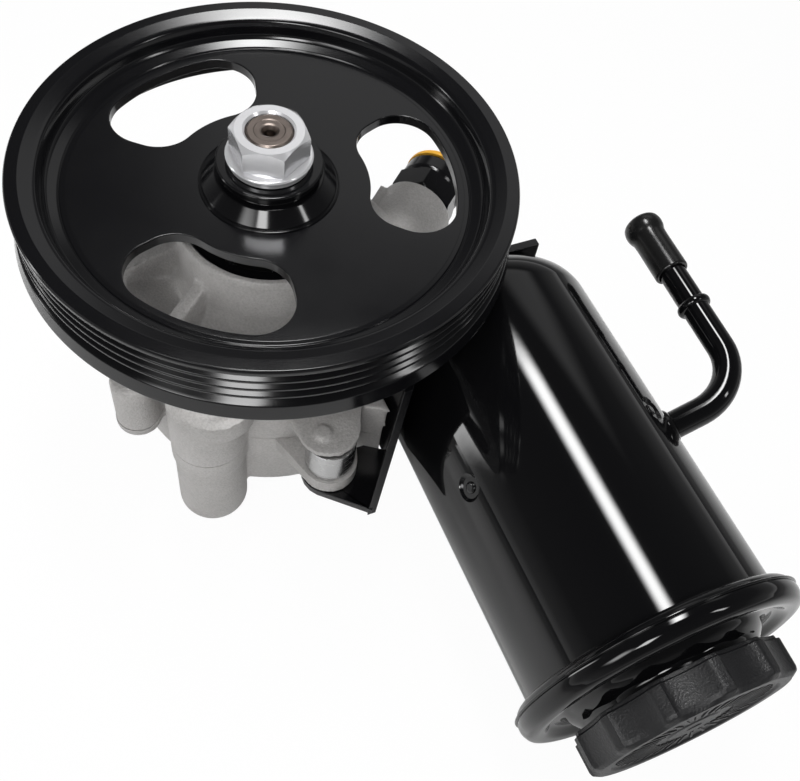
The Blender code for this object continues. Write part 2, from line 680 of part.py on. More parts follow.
def ear_and_chest():
    """The bracket ear and the valve chest, which stand past the casting's flat."""
    tip = EAR_FRONT_Z - CLEAR

    def ear(grow):
        return capsule(EAR_ROOT, (EAR_X, EAR_FACE_Y), EAR_ROOT_RADIUS + grow, EAR_RADIUS + grow)

    levels = ((ear(-EAR_DRAFT), EAR_FRONT_Z - EAR_THICKNESS), (ear(0.0), tip - 2 * CLEAR))
    levels += ((ear(-CLEAR), tip), (ear(-2 * CLEAR), EAR_FRONT_Z))
    parts = [lofted([[(x, y, z) for x, y in outline] for outline, z in levels])]
    parts.append(rod(EAR_NUB_RADIUS, tip, EAR_FRONT_Z + EAR_NUB_HEIGHT, SMALL, NUB_PLACE))
    parts.append(ear_web(SPLIT_Z + CLEAR / 2, EAR_FRONT_Z - EAR_DRAFT))
    chest = [(CHEST_RADIUS, -CHEST_LENGTH), (CHEST_RADIUS, -CLEAR), (CHEST_RADIUS - CLEAR, 0.0)]
    parts.append(moved(turned(chest, COARSE), valve_matrix()))
    return [solid("boss", part) for part in parts]


def make_front_housing():
    low = SPLIT_Z + CLEAR / 2
    edge = SNOUT_FRONT_Z - SNOUT_EDGE
    fillet = arc((SNOUT_RADIUS + SNOUT_FILLET, BODY_FRONT_Z + SNOUT_FILLET), SNOUT_FILLET, 270, 180, 4)
    outside = [(BODY_RADIUS, low), (BODY_RADIUS, BODY_FRONT_Z - BODY_EDGE)]
    outside += [(BODY_RADIUS - BODY_EDGE, BODY_FRONT_Z)] + fillet
    outside += [(SNOUT_RADIUS, edge), (SNOUT_RADIUS - SNOUT_EDGE, SNOUT_FRONT_Z)]
    housing = solid("front_housing", turned(outside, ROUND), "cast aluminium")
    combine(housing, front_bosses(low), "UNION")
    flat = flat_cutter(FLAT_DISTANCE, 0.0, BODY_FRONT_Z + CLEAR)
    combine(housing, [solid("flat", flat)], "DIFFERENCE")
    combine(housing, ear_and_chest(), "UNION")
    bearing_bore = BEARING_RADIUS + CLEAR
    bearing_floor = BEARING_FRONT_Z - BEARING_WIDTH - CLEAR
    groove_low = BEARING_FRONT_Z + CLEAR
    groove_high = groove_low + SNAP_RING_HEIGHT + 2 * CLEAR
    seal_bore = SEAL_RADIUS + CLEAR
    shaft_hole = JOURNAL_RADIUS + 2 * CLEAR
    inside = [(CAVITY_RADIUS, low - BODY_EDGE), (CAVITY_RADIUS, CAVITY_TOP_Z), (shaft_hole, CAVITY_TOP_Z)]
    inside += [(shaft_hole, SEAL_REAR_Z - CLEAR), (seal_bore, SEAL_REAR_Z - CLEAR), (seal_bore, bearing_floor)]
    inside += [(bearing_bore, bearing_floor), (bearing_bore, groove_low), (bearing_bore + MM, groove_low)]
    inside += [(bearing_bore + MM, groove_high), (bearing_bore, groove_high)]
    inside += [(bearing_bore, SNOUT_FRONT_Z + BODY_EDGE)]
    cutters = [turned(inside, ROUND)]
    cutters.append(rod(BOSS_BORE, low - BODY_EDGE, BOSS_FRONT_Z + BODY_EDGE, centre=(BOSS_X, BOSS_Y)))
    cutters.append(moved(rod(VALVE_BORE, -VALVE_BORE_DEPTH, BODY_EDGE), valve_matrix()))
    ear_hole = (EAR_X, EAR_Y)
    cutters.append(rod(FOOT_BOLT_RADIUS + CLEAR, low, EAR_FRONT_Z - BODY_EDGE, centre=ear_hole))
    for place in BOLT_PLACES:
        cutters.append(rod(BOLT_RADIUS + CLEAR, low - BODY_EDGE, SPLIT_Z + BOLT_REACH, 12, place))
    combine(housing, [solid("cutter", part) for part in cutters], "DIFFERENCE")


def rear_bosses(high):
    parts = []
    boss = [(BOSS_RADIUS - BOSS_STEP, BOSS_REAR_Z), (BOSS_RADIUS - BOSS_STEP, high - BOSS_BAND_HEIGHT)]
    boss += [(BOSS_RADIUS, high - BOSS_BAND_HEIGHT + BOSS_STEP), (BOSS_RADIUS, high)]
    parts.append(turned(boss, COARSE, centre=(BOSS_X, BOSS_Y)))
    bridge = capsule((BOSS_X / 2, BOSS_Y / 2), (BOSS_X, BOSS_Y), BOSS_RADIUS, BOSS_RADIUS - BODY_EDGE)
    parts.append(prism(bridge, BODY_EDGE, high))
    for place in BOLT_PLACES:
        parts.append(rod(BOLT_BOSS_RADIUS, BOLT_BOSS_REAR_Z, high, SMALL, place))
        web = capsule((0.0, 0.0), place, BOLT_BOSS_RADIUS, BOLT_BOSS_RADIUS - BODY_EDGE)
        parts.append(prism(web, BOLT_BOSS_REAR_Z + CLEAR, high))
    return [solid("boss", part) for part in parts]


def across(radius, start, end, z):
    """A rod along X."""
    turn = Matrix.Translation((0.0, 0.0, z)) @ Matrix.Rotation(math.pi / 2, 4, "Y")
    return moved(rod(radius, start, end), turn)


def make_rear_housing():
    high = SPLIT_Z - CLEAR / 2
    outside = [(REAR_BODY_RADIUS - BODY_EDGE, 0.0), (REAR_BODY_RADIUS, BODY_EDGE), (REAR_BODY_RADIUS, high)]
    housing = solid("rear_housing", turned(outside, ROUND), "cast aluminium")
    combine(housing, rear_bosses(high), "UNION")
    flat = flat_cutter(FLAT_DISTANCE, -BODY_EDGE, high + BODY_EDGE)
    combine(housing, [solid("flat", flat)], "DIFFERENCE")
    arm = capsule((0.0, 0.0), (EAR_X, EAR_Y), BOLT_BOSS_RADIUS, EAR_RING_RADIUS)
    arms = [prism(arm, high - EAR_RING_HEIGHT, high), ear_web(EAR_WEB_REAR_Z, high)]
    combine(housing, [solid("arm", part) for part in arms], "UNION")
    groove_wide = ORING_RADIUS + CLEAR
    groove = washer_shape(ORING_PLACE - groove_wide, ORING_PLACE + groove_wide,
                          high - 2 * groove_wide, high + BODY_EDGE)
    tail_bore = [(REAR_BUSH_RADIUS + CLEAR, TAIL_END_Z - CLEAR), (REAR_BUSH_RADIUS + CLEAR, high + BODY_EDGE)]
    cutters = [groove, turned(tail_bore, COARSE)]
    cutters.append(rod(BOSS_BORE, BOSS_REAR_Z - BODY_EDGE, high + BODY_EDGE, centre=(BOSS_X, BOSS_Y)))
    cutters.append(rod(FOOT_BOLT_RADIUS + CLEAR, 0.0, high + BODY_EDGE, centre=(EAR_X, EAR_Y)))
    cutters.append(across(SUCTION_RADIUS + CLEAR, SUCTION_SEAT - CLEAR, 2 * BODY_RADIUS, SUCTION_Z))
    cutters.append(across(SUCTION_PASSAGE, 0.0, SUCTION_SEAT + CLEAR, SUCTION_Z))
    for place in BOLT_PLACES:
        cutters.append(rod(BOLT_RADIUS + CLEAR, 0.0, high + BODY_EDGE, 12, place))
    pins = [(0.0, DOWEL_PLACE), (0.0, -DOWEL_PLACE)]
    cutters += [rod(DOWEL_RADIUS + CLEAR, high - BODY_EDGE, high + BODY_EDGE, 14, pin) for pin in pins]
    combine(housing, [solid("cutter", part) for part in cutters], "DIFFERENCE")


def make_housing_bolts():
    head_top = BOLT_BOSS_REAR_Z - CLEAR
    for number, place in enumerate(BOLT_PLACES, 1):
        bolt = solid(f"housing_bolt_{number}", rod(BOLT_RADIUS, head_top - CLEAR,
                     SPLIT_Z + BOLT_REACH - CLEAR, 12, place), "zinc plate")
        head = rod(BOLT_HEAD_RADIUS, head_top - BOLT_HEAD_HEIGHT, head_top, COARSE, place)
        combine(bolt, [solid("head", head)], "UNION")
        socket = prism(hexagon(BOLT_SOCKET, centre=place), 0.0, head_top - BOLT_HEAD_HEIGHT / 2)
        combine(bolt, [solid("socket", socket)], "DIFFERENCE")


def make_orings():
    middle = SPLIT_Z - CLEAR / 2 - ORING_RADIUS
    section = arc((ORING_PLACE, middle), ORING_RADIUS, 0, 300, 5)
    solid("housing_oring", turned(section, ROUND, True), "black rubber")


def make_cartridge():
    """Cam ring between its two plates, located by dowel pins."""
    rear_low = SPLIT_Z + CLEAR
    rear_high = rear_low + REAR_PLATE_HEIGHT
    ring_low = rear_high + CLEAR
    ring_high = ring_low + CAM_RING_HEIGHT
    outer = CAVITY_RADIUS - CLEAR
    steps = ROUND
    inner = []
    for z in (ring_low, ring_high):
        angles = [i * math.tau / steps for i in range(steps)]
        sizes = [CAM_MEAN_RADIUS + CAM_LIFT * math.cos(2 * a) for a in angles]
        inner.append([(s * math.cos(a), s * math.sin(a), z) for s, a in zip(sizes, angles)])
    loops = [inner[0], circle(outer, ring_low, steps), circle(outer, ring_high, steps), inner[1]]
    hole = TAIL_RADIUS + 2 * CLEAR
    front_hole = TAIL_RADIUS + SNAP_RING_WIDTH + 2 * CLEAR
    plates = [solid("cam_ring", lofted(loops, True), "machined steel")]
    plates.append(solid("rear_plate", washer_shape(hole, outer, rear_low, rear_high), "machined steel"))
    front = washer_shape(front_hole, outer, ring_high + CLEAR, CAVITY_TOP_Z - CLEAR)
    plates.append(solid("front_plate", front, "machined steel"))
    pins = [(0.0, DOWEL_PLACE), (0.0, -DOWEL_PLACE)]
    pin_low = SPLIT_Z - CLEAR / 2 - BODY_EDGE + CLEAR
    pin_high = CAVITY_TOP_Z - 2 * CLEAR
    for plate in plates:
        holes = [rod(DOWEL_RADIUS + CLEAR, 0.0, SNOUT_FRONT_Z, 14, pin) for pin in pins]
        combine(plate, [solid("pin_hole", hole) for hole in holes], "DIFFERENCE")
    for number, pin in enumerate(pins, 1):
        solid(f"dowel_pin_{number}", rod(DOWEL_RADIUS, pin_low, pin_high, 12, pin), "machined steel")


def rotor_outline():
    """The rotor's outer edge with its vane slots."""
    half = VANE_THICKNESS / 2 + CLEAR
    floor = vane_foot() - CLEAR
    slot_edge = math.degrees(math.asin(half / ROTOR_RADIUS))
    pitch = 360 / VANE_COUNT
    points = []
    for i in range(VANE_COUNT):
        turn = Matrix.Rotation(math.radians(i * pitch), 2)
        mouth = math.sqrt(ROTOR_RADIUS**2 - half**2)
        slot = [(mouth, -half), (floor, -half), (floor, half), (mouth, half)]
        points += [tuple(turn @ Vector(point)) for point in slot]
        points += arc((0, 0), ROTOR_RADIUS, i * pitch + slot_edge, (i + 1) * pitch - slot_edge, 5)[1:-1]
    return points


def vane_tip():
    return CAM_MEAN_RADIUS - CAM_LIFT - CLEAR


def vane_foot():
    return vane_tip() - VANE_LENGTH


def make_rotor_and_vanes():
    low, high = rotor_span()
    rotor = solid("rotor", prism(rotor_outline(), low, high), "machined steel")
    splined = ROTOR_SEAT_RADIUS - SPLINE_HEIGHT + CLEAR
    bore = [spline(splined, z, COARSE) for z in (low - BODY_EDGE, high + BODY_EDGE)]
    combine(rotor, [solid("bore", lofted(bore))], "DIFFERENCE")
    half = VANE_THICKNESS / 2
    tip = vane_tip()
    for number in range(VANE_COUNT):
        outline = [(vane_foot(), -half), (tip - half / 2, -half), (tip, 0.0), (tip - half / 2, half)]
        vane = solid(f"vane_{number + 1}", prism(outline + [(vane_foot(), half)], low, high), "machined steel")
        vane.rotation_euler = (0.0, 0.0, number * math.tau / VANE_COUNT)
    bore, outer = TAIL_RADIUS + CLEAR, TAIL_RADIUS + SNAP_RING_WIDTH
    ring = washer_shape(bore, outer, high + CLEAR, snap_ring_top(), COARSE)
    solid("rotor_snap_ring", ring, "machined steel")


def make_bearing():
    front = BEARING_FRONT_Z
    back = front - BEARING_WIDTH
    middle = (front + back) / 2
    track = BALL_RADIUS + CLEAR
    lean = math.degrees(math.acos((OUTER_SHOULDER - BALL_PLACE) / track))
    groove = arc((BALL_PLACE, middle), track, lean, -lean, 4)
    outer = [(OUTER_SHOULDER, back), (BEARING_RADIUS, back), (BEARING_RADIUS, front), (OUTER_SHOULDER, front)]
    solid("bearing_outer_race", turned(outer + groove, ROUND, True), "machined steel")
    groove = arc((BALL_PLACE, middle), track, 180 - lean, 180 + lean, 4)
    bore = JOURNAL_RADIUS + CLEAR
    inner = [(INNER_SHOULDER, back), (bore, back), (bore, front), (INNER_SHOULDER, front)]
    solid("bearing_inner_race", turned(inner + groove, ROUND, True), "machined steel")
    for number in range(BALL_COUNT):
        angle = number * math.tau / BALL_COUNT
        mesh = bmesh.new()
        bmesh.ops.create_icosphere(mesh, subdivisions=2, radius=BALL_RADIUS)
        ball = solid(f"bearing_ball_{number + 1}", mesh, "machined steel")
        ball.location = (BALL_PLACE * math.cos(angle), BALL_PLACE * math.sin(angle), middle)
    make_cage(back, middle)
    shield = washer_shape(INNER_SHOULDER + CLEAR, OUTER_SHOULDER - CLEAR, front - SHIELD_THICKNESS - CLEAR,
                          front - CLEAR)
    solid("bearing_shield", shield, "black rubber")


def make_cage(back, middle):
    """A crown cage: a rim behind the balls with a post between each two."""
    inner = BALL_PLACE - CAGE_HALF_WIDTH
    outer = BALL_PLACE + CAGE_HALF_WIDTH
    rim_low = back + CLEAR
    cage = solid("bearing_cage", washer_shape(inner, outer, rim_low, rim_low + CAGE_RIM), "brass")
    outline = [(inner, -CAGE_POST), (outer, -CAGE_POST), (outer, CAGE_POST), (inner, CAGE_POST)]
    posts = []
    for number in range(BALL_COUNT):
        turn = Matrix.Rotation((number + 0.5) * math.tau / BALL_COUNT, 4, "Z")
        posts.append(solid("post", moved(prism(outline, rim_low + CAGE_RIM / 2, middle + CAGE_POST), turn)))
    combine(cage, posts, "UNION")


def make_seals():
    bore = JOURNAL_RADIUS + CLEAR
    top = SEAL_REAR_Z + SEAL_HEIGHT
    lip = SEAL_HEIGHT / 3
    profile = [(bore, SEAL_REAR_Z), (SEAL_RADIUS, SEAL_REAR_Z), (SEAL_RADIUS, top), (SEAL_RADIUS - lip, top)]
    profile += [(SEAL_RADIUS - lip, top - lip), (bore + lip / 2, top - lip), (bore, top - 2 * lip)]
    solid("shaft_seal", turned(profile, ROUND, True), "black rubber")
    low = BEARING_FRONT_Z + 2 * CLEAR
    outer = BEARING_RADIUS + CLEAR + MM - CLEAR
    shape = washer_shape(outer - 4 * MM, outer, low, low + SNAP_RING_HEIGHT)
    ring = solid("bearing_snap_ring", shape, "satin black")
    gap = [(0.0, -2 * MM), (2 * BEARING_RADIUS, -2 * MM), (2 * BEARING_RADIUS, 2 * MM), (0.0, 2 * MM)]
    combine(ring, [solid("gap", prism(gap, 0.0, SNOUT_FRONT_Z))], "DIFFERENCE")
    bush = washer_shape(TAIL_RADIUS + CLEAR, REAR_BUSH_RADIUS, TAIL_END_Z + CLEAR, SPLIT_Z - CLEAR, COARSE)
    solid("rear_bush", bush, "brass")


def make_flow_valve():
    """Spring, spool and pressure union in the valve bore, and the shipping plug on the union."""
    axis = frame("valve_axis", (VALVE_X, VALVE_Y, VALVE_Z), (0.0, math.pi / 2, VALVE_TURN))
    floor = -VALVE_BORE_DEPTH + CLEAR
    count = SPRING_TURNS * SMALL
    rise = SPRING_LENGTH - 2 * SPRING_WIRE
    coil = []
    for i in range(count + 1):
        angle = SPRING_TURNS * math.tau * i / count
        z = floor + SPRING_WIRE + rise * i / count
        coil.append(Vector((SPRING_RADIUS * math.cos(angle), SPRING_RADIUS * math.sin(angle), z)))
    solid("valve_spring", swept(coil, [SPRING_WIRE] * len(coil), 5), "machined steel", axis)
    low = floor + SPRING_LENGTH + CLEAR
    high = low + SPOOL_LENGTH
    groove = SPOOL_RADIUS - 1.5 * MM
    spool = [(SPOOL_RADIUS, low), (SPOOL_RADIUS, low + SPOOL_LENGTH / 3), (groove, low + SPOOL_LENGTH / 3)]
    spool += [(groove, high - SPOOL_LENGTH / 3), (SPOOL_RADIUS, high - SPOOL_LENGTH / 3), (SPOOL_RADIUS, high)]
    solid("valve_spool", turned(spool, COARSE), "machined steel", axis)
    union = solid("pressure_union", prism(hexagon(UNION_FLATS), CLEAR, UNION_HEAD), "satin black", axis)
    stem = [(SPOOL_RADIUS, -UNION_THREAD_DEPTH), (SPOOL_RADIUS, UNION_HEAD / 2)]
    collar = [(UNION_COLLAR, UNION_HEAD / 2), (UNION_COLLAR, UNION_HEAD + UNION_COLLAR_HEIGHT)]
    parts = [solid("stem", turned(stem), parent=axis), solid("collar", turned(collar), parent=axis)]
    combine(union, parts, "UNION")
    top = UNION_HEAD + UNION_COLLAR_HEIGHT
    combine(union, [solid("bore", rod(UNION_BORE, -BODY_EDGE * 2, top + MM), parent=axis)], "DIFFERENCE")
    seat = top + CLEAR
    plug = [(UNION_BORE - CLEAR, top - PLUG_HEIGHT), (UNION_BORE - CLEAR, seat), (PLUG_RADIUS, seat)]
    for share in (0.35, 0.7, 0.9, 1.0):
        plug.append((PLUG_RADIUS * math.sqrt(1 - share**2 * 0.85), seat + PLUG_HEIGHT * share))
    solid("shipping_plug", turned(plug, COARSE), "yellow plastic", axis)


def can_profile():
    """The can's section with its rounded closed end; the mouth is open."""
    end_centre = (CAN_RADIUS - CAN_CORNER, CAN_END + CAN_CORNER)
    outer = arc(end_centre, CAN_CORNER, 270, 360, 5)
    inner = arc(end_centre, CAN_CORNER - CAN_WALL, 360, 270, 5)
    return outer + [(CAN_RADIUS, CAN_MOUTH), (CAN_RADIUS - CAN_WALL, CAN_MOUTH)] + inner


def make_can(axis):
    can = solid("reservoir_can", turned(can_profile(), FINE), "gloss black", axis)
    dimples = []
    for degrees in DIMPLE_ANGLES:
        turn = Matrix.Rotation(math.radians(degrees), 4, "Z")
        place = Matrix.Translation((CAN_RADIUS - DIMPLE_DEPTH, 0.0, DIMPLES_ALONG))
        ways = turn @ place @ Matrix.Rotation(math.pi / 2, 4, "Y")
        shape = turned([(DIMPLE_RADIUS - DIMPLE_DEPTH, 0.0), (DIMPLE_RADIUS, 2 * DIMPLE_DEPTH)], 16)
        dimples.append(solid("dimple", moved(shape, ways), parent=axis))
    turn = Matrix.Rotation(TUBE_ANGLE, 4, "Z") @ Matrix.Translation((0.0, 0.0, TUBE_ALONG_CAN))
    way = turn @ Matrix.Rotation(math.pi / 2, 4, "Y")
    port = rod(TUBE_RADIUS + CLEAR, CAN_RADIUS / 2, 2 * CAN_RADIUS)
    ports = [solid("tube_port", moved(port, way), parent=axis)]
    port = rod(SUCTION_RADIUS + CLEAR, 0.0, CAN_END + CAN_CORNER,
               centre=(SUCTION_X - CAN_X, SUCTION_Z - CAN_Z))
    ports.append(solid("suction_port", port, parent=axis))
    combine(can, dimples + ports, "DIFFERENCE")


def neck_top():
    return FLANGE_START + FLANGE_WIDTH + NECK_LENGTH


def make_reservoir_end(axis):
    """Rolled flange, dished end plate and filler neck as one pressing."""
    seat = CAN_RADIUS + CLEAR
    start = FLANGE_START
    front = FLANGE_START + FLANGE_WIDTH
    half = FLANGE_ROUND
    profile = [(seat, start)] + arc((FLANGE_RADIUS - half, start + half), half, 270, 360, 3)
    profile += arc((FLANGE_RADIUS - half, front - half), half, 0, 90, 3)
    profile += [(seat - CAN_WALL, front), (DISH_RADIUS, front - DISH_DEPTH)]
    profile += [(NECK_FOOT_RADIUS + CAN_WALL, front - DISH_DEPTH), (NECK_FOOT_RADIUS, front)]
    profile += [(NECK_RADIUS, front + DISH_DEPTH), (NECK_RADIUS, neck_top())]
    bore = NECK_RADIUS - NECK_WALL
    floor = CAN_MOUTH + CLEAR
    profile += [(bore, neck_top()), (bore, floor + DISH_DEPTH), (bore + DISH_DEPTH, floor), (seat, floor)]
    solid("reservoir_end", turned(profile, FINE, True), "gloss black", axis)


def scalloped(radius, z, depth):
    """The cap's edge: narrow ridges with a wide hollow between each two."""
    points = []
    for i in range(CAP_SCALLOPS * CAP_POINTS):
        share = (i % CAP_POINTS) / CAP_POINTS
        hollow = max(0.0, (share - CAP_RIDGE_SHARE) / (1 - CAP_RIDGE_SHARE))
        size = radius - depth * math.sin(math.pi * hollow)
        angle = i * math.tau / (CAP_SCALLOPS * CAP_POINTS)
        points.append((size * math.cos(angle), size * math.sin(angle), z))
    return points


def cap_base():
    return FLANGE_START + FLANGE_WIDTH + CAP_GAP


def make_cap(axis):
    steps = CAP_SCALLOPS * CAP_POINTS
    base = cap_base()
    top = base + CAP_HEIGHT
    inner = NECK_RADIUS + 2 * CLEAR
    roof = top - CAP_TOP
    edge = 1.2 * MM
    stick_hole = DIPSTICK_RADIUS + CLEAR
    loops = [circle(stick_hole, roof, steps), circle(inner, roof, steps), circle(inner, base, steps)]
    loops += [scalloped(CAP_RADIUS - edge, base, 0.0), scalloped(CAP_RADIUS, base + edge, CAP_SCALLOP_DEPTH)]
    loops += [scalloped(CAP_RADIUS - CAP_TAPER, top - edge, CAP_SCALLOP_DEPTH)]
    loops += [scalloped(CAP_RADIUS - CAP_TAPER - 2 * edge, top, 0.0)]
    loops += [circle(CAP_FACE_RADIUS, top, steps), circle(CAP_FACE_RADIUS - edge, top - CAP_FACE_DEPTH, steps)]
    pocket = top - CAP_FACE_DEPTH - edge / 2
    loops += [circle(stick_hole, top - CAP_FACE_DEPTH, steps)]
    loops = [circle(stick_hole, pocket, steps)] + loops
    solid("filler_cap", lofted(loops), "moulded black", axis)
    gasket_top = roof - CLEAR
    ring = washer_shape(NECK_RADIUS - NECK_WALL, NECK_RADIUS, gasket_top - GASKET_HEIGHT, gasket_top)
    solid("cap_gasket", ring, "black rubber", axis)
    stick_top = pocket - CLEAR
    solid("dipstick", rod(DIPSTICK_RADIUS, stick_top - DIPSTICK_LENGTH, stick_top, 12), "moulded black", axis)


def tube_route():
    """The return tube's centre line: out of the can, a round bend and back along it."""
    out = Vector((math.cos(TUBE_ANGLE), math.sin(TUBE_ANGLE), 0.0))
    along = Vector((0.0, 0.0, TUBE_ALONG_CAN))
    inside = out * (CAN_RADIUS - 2 * CAN_WALL) + along
    corner = out * TUBE_LEG_OFFSET + along
    tip = out * (TUBE_LEG_OFFSET - TUBE_LEAN) + Vector((0.0, 0.0, TUBE_TIP))
    return inside, corner, tip


def make_return_tube(axis):
    inside, corner, tip = tube_route()
    points = path_round([inside, corner, tip], TUBE_BEND, 8)
    radii = [TUBE_RADIUS] * len(points)
    leg = (corner - tip).normalized()
    shares = [(-1.0, 0.0), (-0.6, 0.75), (0.0, 1.0), (0.6, 0.75), (1.0, 0.0)]
    for place, height in shares:
        points.insert(-1, tip + leg * (BEAD_ALONG - place * BEAD_HALF_WIDTH))
        radii.insert(-1, TUBE_RADIUS + height * BEAD_HEIGHT)
    solid("return_tube", swept(points, radii, SMALL, TUBE_BORE), "gloss black", axis)
    way = Matrix.Translation(tip) @ leg.to_track_quat("Z", "X").to_matrix().to_4x4()
    solid("tube_sleeve", moved(turned(sleeve_profile(), COARSE), way), "black rubber", axis)


def sleeve_profile():
    """The rubber cap on the tube's end, closed with a rounded bulb; the tube ends at zero."""
    bore = TUBE_RADIUS + CLEAR
    end = -CLEAR - (SLEEVE_BULB - bore)
    mouth = end + SLEEVE_LENGTH
    bulb = 0.35 * SLEEVE_LENGTH
    profile = [(bore, -CLEAR), (bore, mouth), (SLEEVE_RADIUS, mouth), (SLEEVE_RADIUS, end + bulb)]
    profile += [(SLEEVE_BULB, end + 0.75 * bulb), (SLEEVE_BULB, end + 0.3 * bulb)]
    return profile + [(0.9 * SLEEVE_BULB, end + 0.1 * bulb), (0.7 * SLEEVE_BULB, end)]


def make_suction_pipe():
    """From the can's end through the bracket into the rear casting."""
    start = Vector((SUCTION_X, -CAN_END - 2 * CAN_WALL, SUCTION_Z))
    corner = Vector((SUCTION_X, 0.0, SUCTION_Z))
    seat = Vector((SUCTION_SEAT, 0.0, SUCTION_Z))
    points = path_round([start, corner, seat], SUCTION_BEND, 6)
    solid("suction_pipe", swept(points, [SUCTION_RADIUS] * len(points), SMALL, SUCTION_BORE), "satin black")


def flat_point(distance, along):
    """A point beside the casting's flat, at a distance from the shaft and along the flat."""
    across_flat = Vector((math.cos(FLAT_ANGLE), math.sin(FLAT_ANGLE)))
    return across_flat * distance + Vector((-across_flat.y, across_flat.x)) * along


def bracket_wall():
    """The side plate, the slanting plate on the casting's flat and the plate behind the can."""
    near = FLAT_DISTANCE + CLEAR
    far = near + SHEET
    back = -CAN_END + CLEAR + SHEET
    foot_z = FOOT_TOP_Z - SHEET
    top_x = SIDE_PLATE_X + SIDE_PLATE_SLOPE * (SIDE_PLATE_TOP_Z - foot_z)
    heading = flat_point(0.0, 1.0)

    def meets(distance, x=None, y=None):
        base = flat_point(distance, 0.0)
        along = (x - base.x) / heading.x if y is None else (y - base.y) / heading.y
        return flat_point(distance, along)

    def station(points, low, high):
        (a, b), (c, d) = points
        return [(a.x, a.y, low), (b.x, b.y, low), (d.x, d.y, high), (c.x, c.y, high)]

    loops = []
    for low, high in (((NEAR_EDGE_X, NEAR_EDGE_Y), (NEAR_EDGE_TOP_X, NEAR_EDGE_Y + NEAR_EDGE_RAKE)),
                      ((SIDE_PLATE_X, SIDE_BEND_Y), (top_x, SIDE_BEND_Y + SIDE_BEND_RAKE))):
        edge = [(Vector((x, y)), Vector((x + SHEET, y))) for x, y in (low, high)]
        loops.append(station(edge, foot_z, SIDE_PLATE_TOP_Z))
    fold = [(meets(near, x=x), meets(far, x=x + SHEET)) for x in (SIDE_PLATE_X, top_x)]
    loops.append(station(fold, foot_z, SIDE_PLATE_TOP_Z))
    outer, inner = meets(near, y=back), meets(far, y=back - SHEET)
    ahead = Vector((1.0, 0.0))
    bend = [(outer - heading * FOLD_OUTER, inner - heading * FOLD_INNER)]
    bend += [(outer + ahead * FOLD_OUTER, inner + ahead * FOLD_INNER)]
    for edge in bend:
        loops.append(station([edge, edge], BACK_PLATE_BOTTOM_Z, BACK_PLATE_TOP_Z))
    end = (Vector((BACK_PLATE_END_X, back)), Vector((BACK_PLATE_END_X, back - SHEET)))
    loops.append(station([end, end], BACK_PLATE_BOTTOM_Z, BACK_PLATE_TOP_Z))
    return lofted(loops)


def foot_outline():
    """The foot under the ear, with its round end and the slanting near edge."""
    middle = SHEET / 2
    back_y = EAR_Y + EAR_RING_RADIUS / 2
    points = [(SIDE_PLATE_X + middle, SIDE_BEND_Y), (NEAR_EDGE_X + middle, NEAR_EDGE_Y)]
    points += arc((EAR_X, EAR_Y), EAR_RING_RADIUS, 225, 135, 5)
    points += [(EAR_X + EAR_RING_RADIUS, back_y), (FOOT_REAR_X, back_y)]
    return points


def make_bracket():
    bracket = solid("bracket", bracket_wall(), "satin black")
    foot = prism(foot_outline(), FOOT_TOP_Z - SHEET, FOOT_TOP_Z)
    combine(bracket, [solid("foot", foot)], "UNION")
    holes = [rod(FOOT_BOLT_RADIUS + CLEAR, 0.0, FOOT_TOP_Z + SHEET, centre=(EAR_X, EAR_Y))]
    pipe = rod(SUCTION_RADIUS + CLEAR, 0.0, 2 * CAN_END)
    way = Matrix.Translation((SUCTION_X, 0.0, SUCTION_Z)) @ Matrix.Rotation(math.pi / 2, 4, "X")
    holes.append(moved(pipe, way))
    holes.append(moved(rod(SIDE_BOLT_RADIUS + CLEAR, FLAT_DISTANCE, 2 * FLAT_DISTANCE), side_bolt_matrix()))
    combine(bracket, [solid("hole", part) for part in holes], "DIFFERENCE")
    combine(bpy.data.objects["rear_housing"], [side_bolt_hole()], "DIFFERENCE")


def side_bolt_matrix():
    place = flat_point(0.0, SIDE_BOLT_ALONG)
    turn = Matrix.Rotation(FLAT_ANGLE, 4, "Z") @ Matrix.Rotation(math.pi / 2, 4, "Y")
    return Matrix.Translation((place.x, place.y, SIDE_BOLT_Z)) @ turn


def side_bolt_hole():
    depth = FLAT_DISTANCE - BOLT_REACH
    hole = rod(SIDE_BOLT_RADIUS + CLEAR, depth, 2 * FLAT_DISTANCE, 12)
    return solid("hole", moved(hole, side_bolt_matrix()))


def make_bracket_bolts():
    place = (EAR_X, EAR_Y)
    head_top = FOOT_TOP_Z - SHEET - CLEAR
    foot_bolt = solid("bracket_bolt_1", rod(FOOT_BOLT_RADIUS, head_top - FOOT_BOLT_RADIUS,
                      EAR_FRONT_Z - BODY_EDGE - CLEAR, 16, place), "zinc plate")
    head = prism(hexagon(FOOT_BOLT_FLATS, centre=place), head_top - FOOT_BOLT_HEAD, head_top)
    combine(foot_bolt, [solid("head", head)], "UNION")
    seat = FLAT_DISTANCE + CLEAR + SHEET + CLEAR
    profile = [(SIDE_BOLT_RADIUS, FLAT_DISTANCE - BOLT_REACH + CLEAR), (SIDE_BOLT_RADIUS, seat)]
    profile += [(SIDE_BOLT_HEAD_RADIUS, seat), (SIDE_BOLT_HEAD_RADIUS, seat + 0.6 * SIDE_BOLT_HEAD)]
    profile += [(0.7 * SIDE_BOLT_HEAD_RADIUS, seat + SIDE_BOLT_HEAD)]
    solid("bracket_bolt_2", moved(turned(profile, 16), side_bolt_matrix()), "zinc plate")
    bush_low = SPLIT_Z + CLEAR / 2
    bush_high = EAR_FRONT_Z - EAR_THICKNESS - CLEAR
    bush = washer_shape(BUSH_BORE, BUSH_RADIUS, bush_low, bush_high, COARSE, place)
    solid("ear_bush", bush, "machined steel")


def smooth_all():
    for thing in bpy.data.objects:
        if thing.type == "MESH":
            thing.data.shade_smooth()
            thing.data.set_sharp_from_angle(angle=math.radians(35))


